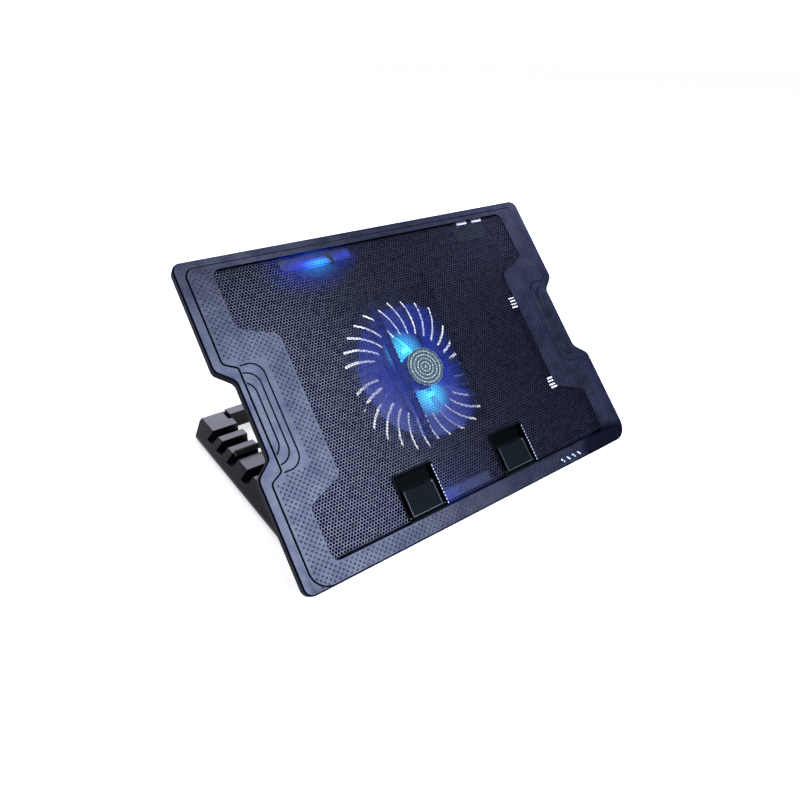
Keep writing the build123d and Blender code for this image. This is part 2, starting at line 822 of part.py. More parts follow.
with BuildPart() as hinge_pins:
    for side in (-1, 1):
        with BuildSketch(base_side(side * beam_x - beam_width / 2 + 1)):
            with Locations((0, hinge_height)):
                Circle(hinge_pin_radius)
        extrude(amount=beam_width - 2)
save(hinge_pins, "hinge_pins")

# Prop: two arms and the foot bar that drops into the racks

with BuildPart() as prop_frame:
    for side in (-1, 1):
        arm_plane = deck_side(side * prop_arm_x - prop_arm_width / 2)
        with BuildSketch(arm_plane):
            with Locations(Location((pivot_y, -prop_drop), -prop_angle)):
                Rectangle(prop_length, prop_arm_height, align=(Align.MIN, Align.CENTER))
                Circle(prop_eye_radius)
                Circle(prop_pin_radius + running_gap, mode=Mode.SUBTRACT)
            with Locations((prop_foot_deck.Y, prop_foot_deck.Z)):
                Circle(prop_foot_radius)
        extrude(amount=prop_arm_width)
    with BuildSketch(base_side(-prop_foot_half_length)):
        with Locations((prop_foot.Y - hinge_y, prop_foot.Z)):
            Circle(prop_foot_core)
    extrude(amount=2 * prop_foot_half_length)
    bar_half = base_half_width - beam_width - foot_bar_gap
    with BuildSketch(base_side(-bar_half)):
        with Locations((prop_foot.Y - hinge_y, prop_foot.Z)):
            Circle(prop_foot_radius)
    extrude(amount=2 * bar_half)
save(prop_frame, "prop_frame")

with BuildPart() as prop_grips:
    for side in (-1, 1):
        near = bar_half if side > 0 else -prop_foot_half_length
        with BuildSketch(base_side(near)):
            with Locations((prop_foot.Y - hinge_y, prop_foot.Z)):
                Circle(prop_foot_radius)
                Circle(prop_foot_core, mode=Mode.SUBTRACT)
        extrude(amount=prop_foot_half_length - bar_half)
save(prop_grips, "prop_grips")

with BuildPart() as prop_pins:
    span = prop_arm_width + 2 * prop_ear + 2 * hinge_gap
    for side in (-1, 1):
        with BuildSketch(deck_side(side * prop_arm_x - span / 2)):
            with Locations((pivot_y, -prop_drop)):
                Circle(prop_pin_radius)
        extrude(amount=span)
save(prop_pins, "prop_pins")
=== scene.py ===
"""A laptop cooling pad: perforated deck, lit fan and flip-up stops over a racked base."""
import json
from functools import cache
from math import cos, hypot, pi, radians, sin, sqrt

import bmesh
import bpy
from bpy.props import FloatProperty, FloatVectorProperty, IntProperty, PointerProperty
from mathutils import Euler, Matrix, Vector

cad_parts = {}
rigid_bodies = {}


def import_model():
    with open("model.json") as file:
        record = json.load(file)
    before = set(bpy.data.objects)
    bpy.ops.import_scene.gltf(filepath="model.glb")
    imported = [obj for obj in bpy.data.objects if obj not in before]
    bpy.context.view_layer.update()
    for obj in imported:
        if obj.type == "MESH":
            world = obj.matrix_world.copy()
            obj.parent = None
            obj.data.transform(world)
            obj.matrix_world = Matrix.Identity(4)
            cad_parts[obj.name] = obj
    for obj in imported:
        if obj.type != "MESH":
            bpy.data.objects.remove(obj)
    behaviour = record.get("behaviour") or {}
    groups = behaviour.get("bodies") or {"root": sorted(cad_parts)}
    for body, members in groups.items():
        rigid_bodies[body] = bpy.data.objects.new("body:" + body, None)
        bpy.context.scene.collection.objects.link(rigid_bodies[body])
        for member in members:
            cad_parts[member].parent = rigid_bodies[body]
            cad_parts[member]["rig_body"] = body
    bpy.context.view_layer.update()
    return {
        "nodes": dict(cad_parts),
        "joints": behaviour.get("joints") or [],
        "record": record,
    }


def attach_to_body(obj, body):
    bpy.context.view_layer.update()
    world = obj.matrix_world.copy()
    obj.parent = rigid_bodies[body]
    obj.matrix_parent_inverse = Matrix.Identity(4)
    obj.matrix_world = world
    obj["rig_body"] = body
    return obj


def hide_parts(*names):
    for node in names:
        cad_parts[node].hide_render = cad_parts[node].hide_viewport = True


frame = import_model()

bl_info = {
    "name": "Laptop Cooling Pad",
    "version": (1, 0, 0),
    "blender": (4, 5, 0),
    "location": "View3D > Sidebar > Cooling Pad",
    "description": "Dresses a laptop cooling pad around its packed frame",
    "category": "Object",
}

MM = 0.001

# The deck's own frame: x across, y from its front edge, z up out of its surface

joints = {joint["name"]: joint for joint in frame["joints"]}
TILT = radians(-joints["pad_tilt"]["range_deg"][0])
HINGE = Vector(joints["pad_tilt"]["pos_m"])
HINGE_INSET = 12 * MM
DECK_HEIGHT = 28 * MM
TURN = Matrix.Rotation(TILT, 4, "X")
DECK = Matrix.Translation(HINGE) @ TURN @ Matrix.Translation((0, -HINGE_INSET, DECK_HEIGHT))
TO_DECK = DECK.inverted()
FAN = TO_DECK @ Vector(joints["fan_spin"]["pos_m"])


@cache
def deck_box(node):
    """A CAD node's lowest and highest corners in the deck's own frame."""
    points = [TO_DECK @ v.co for v in frame["nodes"][node].data.vertices]
    low = Vector([min(p[i] for p in points) for i in range(3)])
    high = Vector([max(p[i] for p in points) for i in range(3)])
    return low, high


SLOTS = {part["node"]: part["material_slot"] for part in frame["record"]["subparts"]}
FINISHES = {}

# Pieces laid on a surface sink into it a little, so that no gap shows, and blocks reach deeper

SINK = 0.02 * MM
ROOT = 0.1 * MM

# How far the fan's light, painted on the shell as emission, reaches inside the tub

TUB_TOP = -9.6 * MM
TUB_RIGHT = 36.5 * MM
HAZE_REACH = 85 * MM
HAZE_FALL = 1.5
HAZE_STRENGTH = 0.28
SPOT_REACH = 23 * MM
SPOT_FALL = 1.3
DEEP_BLUE = (0.002, 0.012, 0.19)
DARK = (0, 0, 0, 1)

# The rib left of the hub gets more of the painted light on its edges than on its crest

LEFT_RIB = -31 * MM
RIB_HALF = 1.6 * MM
RIB_CORE = 0.6 * RIB_HALF
RIB_SHINE = 3

# How far a surface has to look out of the deck to take the painted light, from -1 to 1

UPWARD = 0.3
NOT_DOWNWARD = -0.5

# The light bars' halo, painted on the shell round them

HALO_SPREAD = 1.3
HALO_FLATNESS = 0.6
HALO_STRENGTH = 0.06

# Fine patterns: the ribs across the stops, the label's rings and the stator's windings

RIB_PITCH = 2.2 * MM
RING_PITCH = 3.6 * MM
WIRE_PITCH = 0.6 * MM

# The rotor's painted glow fades from the hub to the blades' tips

ROTOR_GLOW_START = 18 * MM
ROTOR_GLOW_REACH = 52 * MM

# The black front right corner of the border: its middle, its half sizes and its soft edge

CORNER_MIDDLE = (158 * MM, 5 * MM, 0)
CORNER_REACH = (38 * MM, 17 * MM)
CORNER_EDGE = 1.15
CORNER_FADE = 2.5

# The border's window for the sheet: it narrows to a waist between the hand notches

WINDOW_FRONT = 16 * MM
WINDOW_BACK = 268 * MM
WINDOW_LAP = 2.7 * MM
WAIST_STEP = 33 * MM
WAIST_FRONT = 69 * MM
WAIST_BACK = 209 * MM
WAIST_SLOPE = 13 * MM

# The sheet: a dark gap at the window's front and back, holes that run under the border at its
# sides, and a gap round the stops' housings

SHEET_BANDS = 4
SHADOW_GAP = 1.0 * MM
HOLES_UNDER = 3.4 * MM
HOUSING_GAP = 0.3 * MM
SHEET_WELD = 0.05 * MM

# Where the border's bumps stop at the sides: beside the hand notches and before the grip grooves

NOTCH_FRONT = 86 * MM
NOTCH_BACK = 192 * MM
NOTCH_SIDE = 22.5 * MM
GRIP_FRONT = 93 * MM
GRIP_BACK = 186 * MM
GRIP_SIDE = 44 * MM
TRIM_GAP = 1.5 * MM

# A rounded copy: vertices nearer than the weld are one, edges flatter than the flat angle go, and
# edges sharper than the sharp angle are rounded. Angles are in degrees.

WELD = 0.002 * MM
FLAT_ANGLE = 0.6
SHARP_ANGLE = 30
BEVEL_SEGMENTS = 2
BEZEL_EDGE = 0.25 * MM
TRIM_EDGE = 0.3 * MM
STOP_EDGE = 0.5 * MM
BASE_EDGE = 0.7 * MM
PROP_EDGE = 0.6 * MM

# Edges sharper than these angles stay sharp where a piece is shaded smoothly

MOULDING_SMOOTH = 32
ROTOR_SMOOTH = 40
BUMP_SMOOTH = 60

# A bump's rings, as shares of its radius and height, a stud's top as a share of its foot, and how
# finely the rotor is made

BUMP_RINGS = ((1.0, 0.0), (0.86, 0.5), (0.5, 0.87))
STUD_TAPER = 0.5
BLADE_STEPS = 10
CUP_SIDES = 48

# How far the rim lies below the border, where the painted shade in its grooves and on its sides starts and is
# full, and that shade's colour, which also blacks the front right corner

RIM_DROP = 0.8 * MM
RIM_BAND = 0.12 * MM
GROOVE_START = 0.25 * MM
GROOVE_FADE = 0.3 * MM
GROOVE_SHADE = (0.001, 0.0012, 0.003)

# Lamps behind the light bars: place on the deck, reach, flatness and colour. A dark gap leans
# across the back bar, and each lamp's light falls off as a power of the distance.

BAR_GAP = 4.5 * MM
GAP_LEAN = 0.3
LAMP_FALL = 1.6
BACK_GAP = (-50 * MM, 258 * MM, 0)
BACK_LAMPS = (
    ((-63 * MM, 258 * MM, 0), 20 * MM, 0.26, (0.04, 0.95, 2.2)),
    ((-72 * MM, 258 * MM, 0), 40 * MM, 0.26, (0.006, 0.05, 1.5)),
    ((-36 * MM, 260 * MM, 0), 18 * MM, 0.4, (0.0, 0.03, 0.9)),
)
FRONT_LAMPS = (
    ((-44 * MM, 24 * MM, 0), 26 * MM, 0.5, (0.0, 0.012, 0.42)),
    ((-30 * MM, 25 * MM, 0), 64 * MM, 0.4, (0.001, 0.005, 0.15)),
)

# The floor and the low wall round it, in metres

FLOOR_REACH = 8
FLOOR_SIDES = 96
WALL_HEIGHT = 2.4
POOL_REACH = 2.2

# Studio lamps: place from the deck's middle, size, power and tint

DECK_MIDDLE = (0, 140 * MM, 0)
STUDIO = {
    "key": ((0.22, -0.965, 0.923), (0.76, 1.2), 96, (0.60, 0.70, 1.0)),
    "back": ((0.45, 1.3, 0.95), (1.2, 1.2), 30, (0.82, 0.84, 1.0)),
    "left": ((-1.3, -0.2, 0.5), (0.8, 0.8), 3, (1, 0.95, 0.98)),
    "far": ((1.12, -0.20, 0.98), (0.4, 0.4), 3.6, (0.55, 0.58, 1.0)),
}
WORLD_TINT = (0.62, 0.68, 1)
WORLD_STRENGTH = 0.07

# The camera: place, turn in degrees, lens and film width in millimetres

CAMERA_PLACE = (-0.3331, -0.4481, 0.3827)
CAMERA_TURN = (59.587, -0.54, -36.391)
CAMERA_LENS = 28.66
CAMERA_FILM = 36
CAMERA_NEAR = 10 * MM

# Settings


def length(name, value, text):
    """A length in metres, given in millimetres."""
    return FloatProperty(name=name, description=text, default=value * MM, min=0, unit="LENGTH", precision=5)


def colour(name, value, text):
    """A linear colour."""
    return FloatVectorProperty(name=name, description=text, default=value, size=3, min=0, max=1,
                               subtype="COLOR")


class MeshSettings(bpy.types.PropertyGroup):
    """The perforated steel sheet."""
    pitch: length("Pitch", 2.8, "Distance between neighbouring holes")
    hole: length("Hole", 1.32, "Radius of a hole")
    thickness: length("Thickness", 0.22, "Thickness of the sheet")


class BorderSettings(bpy.types.PropertyGroup):
    """The field of small bumps on the deck's border."""
    pitch: length("Pitch", 5.0, "Distance between neighbouring bumps")
    radius: length("Radius", 1.0, "Radius of a bump")
    height: length("Height", 0.4, "Height of a bump")
    front: length("Front", 3.4, "How far the first row stays from the front edge")
    back: length("Back", 9.5, "How far the bumps stay from the back edge")
    side: length("Side", 11.0, "How far the bumps stay from the sides")
    corner: length("Corner", 12.0, "Radius of the field's front corners")
    margin: length("Margin", 1.6, "Plain strip round the window")


class StopSettings(bpy.types.PropertyGroup):
    """The studded face of the flip-up stops and the pale bead of painted highlight round it."""
    pitch: length("Pitch", 2.2, "Distance between neighbouring studs")
    stud: length("Stud", 0.7, "Half the width of a stud, from corner to corner")
    stud_height: length("Stud height", 0.5, "Height of a stud, half of it above the face")
    stud_inset: length("Stud inset", 3.0, "How far the studs stay from the stop's edges")
    stud_front: length("Stud front", 2.0, "How much farther they stay from the front edge")
    bead: length("Bead", 0.4, "Width of the bead round a stop")
    # The bead and the square at its right back corner are a painted highlight along the stop's edges
    bead_height: length("Bead height", 0.18, "Height of the bead")
    bead_side: length("Bead side", 1.2, "How far the bead stays from the stop's sides")
    bead_front: length("Bead front", 2.2, "How far the bead stays from the front edge")
    bead_back: length("Bead back", 1.6, "How far the bead stays from the back edge")
    glint_square: length("Lip", 1.6, "Side of the square lip at the bead's right back corner")


class HousingSettings(bpy.types.PropertyGroup):
    """The comb on the stops' housings, and the pale dashes of painted glint beside the stops."""
    rib_pitch: length("Rib pitch", 2.2, "Distance between neighbouring ribs of the comb")
    rib: length("Rib", 1.0, "Width of a rib")
    rib_length: length("Rib length", 11.0, "Length of a rib")
    rib_height: length("Rib height", 1.8, "Height of a rib")
    rib_foot: length("Rib foot", 1.4, "How high a rib starts above the housing's underside")
    rib_side: length("Rib side", 2.4, "How far the comb stays from the left end")
    rib_back: length("Rib back", 1.8, "How far the ribs stay from the back edge")
    comb_free: length("Comb free", 5.0, "How much of the housing's width the comb leaves free")
    dash_pitch: length("Dash pitch", 3.1, "Distance between neighbouring dashes")
    dash_share: FloatProperty(name="Dash share", description="How much of the pitch a dash takes",
                              default=0.55, min=0, max=1, subtype="FACTOR")
    dash: length("Dash", 0.65, "Width of a dash")
    dash_height: length("Dash height", 0.12, "Height of a dash")
    dash_side: length("Dash side", 0.25, "How far the dashes stay from the right end")
    dash_front: length("Dash front", 2.0, "How far the dashes stay from the front edge")
    dash_free: length("Dash free", 3.0, "How much of the housing's depth the dashes leave free")


class FrontDashSettings(bpy.types.PropertyGroup):
    """The small pale slanted dashes in the front border."""
    # What these settings call lamps are pale slanted dashes; they give no light
    count: IntProperty(name="Count", description="Number of lamps", default=4, min=1)
    pitch: length("Pitch", 7.6, "Distance between neighbouring lamps")
    start: length("Start", 92.5, "Where the first lamp stands, right of the middle")
    front: length("Front", 6.4, "How far the lamps stand from the front edge")
    width: length("Width", 1.5, "Width of a lamp")
    length: length("Length", 4.6, "Length of a lamp")
    height: length("Height", 0.3, "Height of a lamp, half of it above the border")
    slant: FloatProperty(name="Slant", description="How far a lamp leans", default=radians(42),
                         subtype="ANGLE")


class FanSettings(bpy.types.PropertyGroup):
    """The rotor and its light."""
    blades: IntProperty(name="Blades", description="Number of blades", default=9, min=3)
    sweep: FloatProperty(name="Sweep", description="How far a blade's tip lies round from its root",
                         default=radians(24), subtype="ANGLE")
    overlap: FloatProperty(name="Overlap", description="How far blades cover the disc, seen from above",
                           default=1.06, min=0.2)
    rise: length("Rise", 3.6, "How far a blade's edges lie above and below its middle")
    lift: length("Lift", 0.6, "How far the blades lie above the rotor's middle")
    crease: length("Crease", 0.35, "How far a blade's middle line sags")
    root: length("Root", 0.4, "How far a blade's root reaches into the cup")
    tip_gap: length("Tip gap", 1.0, "How far the blades stay inside the rotor's size")
    blade_wall: length("Blade wall", 1.2, "Thickness of a blade")
    cup: length("Cup", 18.5, "Radius of the cup")
    cup_wall: length("Cup wall", 1.4, "Thickness of the cup")
    shoulder: length("Shoulder", 1.6, "How far the cup's shoulder reaches down and in")
    shoulder_cut: length("Shoulder cut", 0.5, "How far the shoulder's middle lies below a square corner")
    bore: length("Bore", 1.0, "Radius of the hole for the shaft")


class FinishSettings(bpy.types.PropertyGroup):
    """Colours of the finishes."""
    deck: colour("Deck", (0.0035, 0.004, 0.009), "Moulded border of the deck")
    base: colour("Base", (0.012, 0.011, 0.016), "Moulded base")
    sheet: colour("Sheet", (0.006, 0.0065, 0.012), "Painted steel sheet")
    shell: colour("Shell", (0.0012, 0.0012, 0.0022), "Dark inner mouldings")
    stops: colour("Stops", (0.002, 0.004, 0.0035), "Flip-up stops and their housings")
    rotor: colour("Rotor", (0.008, 0.018, 0.17), "Translucent rotor")
    lamp: colour("Lamp", (0.06, 0.62, 1.0), "Lamp light")
    label: colour("Label", (0.20, 0.27, 0.25), "Hub label")


# Shader maths


class Value:
    """A socket that takes part in Python arithmetic by adding Math nodes."""

    def __init__(self, shader, socket):
        self.shader = shader
        self.socket = socket

    def math(self, operation, *others, clamp=False):
        """One Math node on this value and the others."""
        values = [self, *others]
        node = self.shader.node("ShaderNodeMath", {"operation": operation, "use_clamp": clamp},
                                dict(enumerate(values)))
        return self.shader.value(node)

    def __add__(self, other):
        return self.math("ADD", other)

    def __sub__(self, other):
        return self.math("SUBTRACT", other)

    def __mul__(self, other):
        return self.math("MULTIPLY", other)

    def __truediv__(self, other):
        return self.math("DIVIDE", other)

    def __rsub__(self, other):
        return (self * -1) + other

    def __gt__(self, other):
        return self.math("GREATER_THAN", other)

    def __lt__(self, other):
        return self.math("LESS_THAN", other)

    __radd__ = __add__
    __rmul__ = __mul__


class Shader:
    """A procedural material built from named steps."""

    def __init__(self, name):
        self.material = bpy.data.materials.new(name)
        self.material.use_nodes = True
        self.tree = self.material.node_tree
        self.tree.nodes.clear()
        self.output = self.tree.nodes.new("ShaderNodeOutputMaterial")
        self.surface = self.node("ShaderNodeBsdfPrincipled")
        self.tree.links.new(self.surface.outputs[0], self.output.inputs["Surface"])

    def node(self, kind, settings=None, sockets=None):
        """Add a node: its settings first, then its sockets' values or links."""
        node = self.tree.nodes.new(kind)
        for key, setting in (settings or {}).items():
            setattr(node, key, setting)
        for key, value in (sockets or {}).items():
            self.feed(node, key, value)
        return node

    def feed(self, node, key, value):
        """Set a socket's value, or link it."""
        socket = node.inputs[key]
        if isinstance(value, Value):
            value = value.socket
        if isinstance(value, bpy.types.NodeSocket):
            self.tree.links.new(value, socket)
        else:
            socket.default_value = value

    def value(self, node, name=0):
        """A node's output, ready for arithmetic."""
        return Value(self, node.outputs[name])

    def set(self, **sockets):
        """Feed the surface's sockets; an underscore stands for a space."""
        for key, value in sockets.items():
            self.feed(self.surface, key.replace("_", " "), value)

    def darken(self, factor, shade, roughness):
        """Give way to a dull dark surface where the factor is 1."""
        dull = self.node("ShaderNodeBsdfPrincipled", sockets={
            "Base Color": (*shade, 1), "Roughness": roughness, "Specular IOR Level": 0.01})
        mixed = self.node("ShaderNodeMixShader", sockets={
            0: factor, 1: self.surface.outputs[0], 2: dull.outputs[0]})
        self.tree.links.new(mixed.outputs[0], self.output.inputs["Surface"])

    def place(self):
        """Object coordinates, in metres."""
        return self.node("ShaderNodeTexCoord").outputs["Object"]

    def on_deck(self, centre=(0, 0, 0)):
        """Coordinates in the deck's own frame, from a centre on it."""
        origin = DECK @ Vector(centre)
        node = self.node("ShaderNodeMapping", {"vector_type": "TEXTURE"},
                         {"Vector": self.place(), "Location": origin, "Rotation": (TILT, 0, 0)})
        return node.outputs[0]

    def facing(self, way):
        """How far the surface faces that way: 1 when it looks straight along it."""
        node = self.node("ShaderNodeVectorMath", {"operation": "DOT_PRODUCT"},
                         {0: self.node("ShaderNodeTexCoord").outputs["Normal"], 1: way})
        return self.value(node, "Value")

    def split(self, vector):
        """A vector's three values."""
        node = self.node("ShaderNodeSeparateXYZ", sockets={0: vector})
        return [self.value(node, i) for i in range(3)]

    def distance(self, vector):
        """A vector's length."""
        node = self.node("ShaderNodeVectorMath", {"operation": "LENGTH"}, {0: vector})
        return self.value(node, "Value")

    def radius(self, vector):
        """Distance from the axis that is square to the deck at the vector's centre."""
        flat = self.node("ShaderNodeVectorMath", {"operation": "MULTIPLY"}, {0: vector, 1: (1, 1, 0)})
        return self.distance(flat.outputs[0])

    def noise(self, scale, detail=3.0, vector=None):
        """A cloudy pattern, from 0 to 1."""
        node = self.node("ShaderNodeTexNoise", sockets={
            "Vector": vector or self.place(), "Scale": scale, "Detail": detail})
        return self.value(node, 0)

    def cells(self, scale):
        """A pebbled pattern."""
        node = self.node("ShaderNodeTexVoronoi", sockets={"Vector": self.place(), "Scale": scale})
        return self.value(node, "Distance")

    def mix(self, factor, first, second, blend="MIX"):
        """Two colours, blended by a factor."""
        node = self.node("ShaderNodeMix", {"data_type": "RGBA", "blend_type": blend},
                         {0: factor, 6: first, 7: second})
        return node.outputs[2]

    def shades(self, value, dark, light):
        """A colour that runs from dark to light with value."""
        return self.mix(value, (*dark, 1), (*light, 1))

    def lamplight(self, lamps, gap=None):
        """The light of lamps on the deck, fading with distance, with a dark gap across it."""
        total = DARK
        for place, reach, flatness, shade in lamps:
            x, y, z = self.split(self.on_deck(place))
            x = x / reach
            y = y / (reach * flatness)
            near = (1 - (x * x + y * y).math("SQRT")).math("MAXIMUM", 0.0).math("POWER", LAMP_FALL)
            if gap is not None:
                across = self.split(self.on_deck(gap))
                near = near * ((across[0] + across[1] * GAP_LEAN).math("ABSOLUTE") > BAR_GAP / 2)
            total = self.mix(1.0, total, self.shades(near, (0, 0, 0), shade), "ADD")
        return total

    def bump(self, height, depth):
        """Feed a bump of that depth, in metres, to the surface's normal."""
        node = self.node("ShaderNodeBump", sockets={"Strength": 1.0, "Distance": depth, "Height": height})
        self.feed(self.surface, "Normal", node.outputs[0])


def lighter(shade, factor):
    """The shade made lighter, or darker where the factor is below 1."""
    return tuple(c * factor for c in shade)


def moulded(name, shade, roughness, grain=1500, depth=0.04 * MM, sheen=0.5, coat=0.0):
    """Moulded plastic: a fine grain, slight tone changes and handling wear."""
    shader = Shader(name)
    tone = shader.noise(9, 4.0)
    wear = shader.noise(60, 5.0)
    shader.set(Base_Color=shader.shades(tone, lighter(shade, 0.85), lighter(shade, 1.2)),
               Roughness=wear * 0.12 + (roughness - 0.06), Specular_IOR_Level=sheen, Coat_Weight=coat,
               Coat_Roughness=0.12)
    shader.bump(shader.noise(grain, 2.0), depth)
    return shader.material


def deck_finish(shade):
    """The deck's satin border: a pebbled grain, painted shade in the grooves and on the sides, and a black
    front right corner.
    """
    shader = Shader("deck_plastic")
    tone = shader.noise(7, 4.0)
    grain = shader.noise(900, 3.0)
    pebbles = shader.cells(520)
    smudge = shader.noise(34, 5.0)
    mottle = (shader.noise(75, 4.0) * 1.6 - 0.62).math("MAXIMUM", 0.0)
    depth = shader.split(shader.on_deck())[2] * -1
    painted_shade_mask = (depth - GROOVE_START).math("MULTIPLY", 1 / GROOVE_FADE, clamp=True)
    painted_shade_mask = painted_shade_mask * ((depth - RIM_DROP).math("ABSOLUTE") > RIM_BAND)
    x, y, z = shader.split(shader.on_deck(CORNER_MIDDLE))
    from_corner = ((x / CORNER_REACH[0]) * (x / CORNER_REACH[0])
                   + (y / CORNER_REACH[1]) * (y / CORNER_REACH[1])).math("SQRT")
    corner = (CORNER_EDGE - from_corner).math("MULTIPLY", CORNER_FADE, clamp=True)
    shader.set(Base_Color=shader.shades(tone * 0.6 + pebbles * 0.4, lighter(shade, 0.2), lighter(shade, 1.7)),
               Roughness=smudge * 0.12 + grain * 0.06 + 0.23, Metallic=mottle, Specular_IOR_Level=0.2)
    shader.bump(grain * 0.5 + pebbles * 0.5, 0.1 * MM)
    # Painted shade: a dull dark surface in the grooves and on the sides below the surface; the black corner
    # is the border's own colour
    shader.darken(painted_shade_mask.math("MAXIMUM", corner), GROOVE_SHADE, 0.4)
    return shader.material


def painted(name, shade, roughness=0.3):
    """Powder-painted steel."""
    shader = Shader(name)
    orange_peel = shader.noise(1800, 2.0)
    shader.set(Base_Color=shader.shades(shader.noise(14), lighter(shade, 0.8), lighter(shade, 1.3)),
               Roughness=orange_peel * 0.1 + (roughness - 0.05), Specular_IOR_Level=0.28,
               Metallic=(shader.noise(260, 1.0) * 2.2 - 0.8).math("MAXIMUM", 0.0))
    shader.bump(orange_peel, 0.03 * MM)
    return shader.material


def stop_finish(shade):
    """The stops' matt black, ribbed by a fine grid."""
    shader = Shader("stop_black")
    x, y, z = shader.split(shader.on_deck())
    ribs = (x * (2 * pi / RIB_PITCH)).math("SINE") * 0.5 + 0.5
    grain = shader.noise(1100, 3.0)
    shader.set(Base_Color=shader.shades(ribs * 0.8 + grain * 0.2, lighter(shade, 0.12), lighter(shade, 0.8)),
               Roughness=grain * 0.15 + 0.5, Specular_IOR_Level=0.02)
    shader.bump(ribs, 0.15 * MM)
    return shader.material


def brushed(name, shade, roughness=0.32):
    """Drawn steel, brushed along X."""
    shader = Shader(name)
    stretched = shader.node("ShaderNodeMapping", sockets={
        "Vector": shader.place(), "Scale": (30, 2600, 2600)})
    lines = shader.noise(1.0, 4.0, stretched.outputs[0])
    shader.set(Base_Color=shader.shades(lines, lighter(shade, 0.8), lighter(shade, 1.1)), Metallic=1.0,
               Roughness=lines * 0.2 + (roughness - 0.1))
    shader.bump(lines, 0.02 * MM)
    return shader.material


def rubber(name, shade):
    """Matt rubber with a dusty bloom."""
    shader = Shader(name)
    bloom = shader.noise(90, 6.0)
    shader.set(Base_Color=shader.shades(bloom, lighter(shade, 0.8), lighter(shade, 1.8)),
               Roughness=bloom * 0.2 + 0.7, Specular_IOR_Level=0.3)
    shader.bump(shader.noise(2200, 3.0), 0.06 * MM)
    return shader.material


def shell_finish(shade, lamp):
    """Dark moulding with the fan's light painted on as emission inside the tub, up to the right-hand rib, and
    the light bars' halo painted round them.
    """
    shader = Shader("dark_plastic")
    grain = shader.noise(1300, 2.0)
    vector = shader.on_deck(FAN)
    x, y, z = shader.split(vector)
    face = shader.facing(DECK.to_3x3() @ Vector((0, 0, 1)))
    on_rib = (x - LEFT_RIB).math("ABSOLUTE") < RIB_HALF
    # The painted light stays off faces that look down out of the deck
    inside = (x < TUB_RIGHT) * (z < TUB_TOP - FAN.z).math("MAXIMUM", on_rib) * (face > NOT_DOWNWARD)
    # The rib's edges take more of the painted glow than its crest
    rib_edge = ((x - LEFT_RIB).math("ABSOLUTE") > RIB_CORE) * on_rib
    haze = (1 - shader.radius(vector) / HAZE_REACH).math("MAXIMUM", 0.0)
    painted_light_spots = None
    for lens in lamp_places():
        near = (1 - shader.distance(shader.on_deck(lens)) / SPOT_REACH).math("MAXIMUM", 0.0)
        painted_light_spots = near if painted_light_spots is None else painted_light_spots + near
    # Painted light: the fan's blue glow and the bright spots under its lenses, put into the shell's emission
    glow = shader.shades(haze.math("POWER", HAZE_FALL) * (rib_edge * RIB_SHINE + 1) * inside, (0, 0, 0),
                         lighter(DEEP_BLUE, HAZE_STRENGTH))
    bright = shader.shades(painted_light_spots.math("POWER", SPOT_FALL, clamp=True) * inside, (0, 0, 0), lamp)
    # Painted light: the light bars' halo on the shell's upward faces
    halo = shader.lamplight([(place, reach * HALO_SPREAD, HALO_FLATNESS, lighter(tint, HALO_STRENGTH))
                             for place, reach, _, tint in (*BACK_LAMPS, *FRONT_LAMPS)])
    halo = shader.mix(face > UPWARD, DARK, halo)
    light = shader.mix(1.0, shader.mix(1.0, glow, bright, "ADD"), halo, "ADD")
    shader.set(Base_Color=shader.shades(shader.noise(12), lighter(shade, 0.8), lighter(shade, 1.4)),
               Roughness=grain * 0.12 + 0.6, Specular_IOR_Level=0.025, Emission_Color=light,
               Emission_Strength=5.0)
    shader.bump(grain, 0.05 * MM)
    return shader.material


def rotor_finish(shade):
    """Translucent blue plastic with a painted glow, strongest near the hub, alike all round."""
    shader = Shader("rotor_blue")
    vector = shader.on_deck(FAN)
    out = (shader.radius(vector) - ROTOR_GLOW_START) / ROTOR_GLOW_REACH
    fade = (1 - out).math("MAXIMUM", 0.0, clamp=True)
    flow = shader.noise(120, 3.0)
    # Painted glow: emission on the rotor stands for the hub lamps' light in its plastic
    shader.set(Base_Color=shader.shades(flow, lighter(shade, 0.8), lighter(shade, 1.4)),
               Roughness=flow * 0.1 + 0.22, Specular_IOR_Level=0.12, Alpha=flow * 0.1 + 0.24,
               Emission_Color=shader.shades(fade, (0.001, 0.002, 0.02), (0.004, 0.03, 0.38)),
               Emission_Strength=0.7)
    shader.bump(flow, 0.1 * MM)
    return shader.material


def lamp_finish(shade):
    """A clear lens over a blue lamp."""
    shader = Shader("led_blue")
    cloud = shader.noise(260, 2.0)
    shader.set(Base_Color=(*shade, 1), Roughness=cloud * 0.1 + 0.15,
               Emission_Color=shader.shades(cloud, lighter(shade, 0.8), lighter(shade, 1.1)),
               Emission_Strength=9.0)
    return shader.material


def bar_finish(name, lamps, gap=None):
    """A frosted bar lit by lamps behind it: each a place on the deck, a reach and a colour."""
    shader = Shader(name)
    frost = shader.noise(900, 3.0)
    shader.set(Base_Color=(0.002, 0.003, 0.01, 1), Roughness=frost * 0.2 + 0.4, Specular_IOR_Level=0.2,
               Emission_Color=shader.lamplight(lamps, gap), Emission_Strength=1.0)
    shader.bump(frost, 0.05 * MM)
    return shader.material


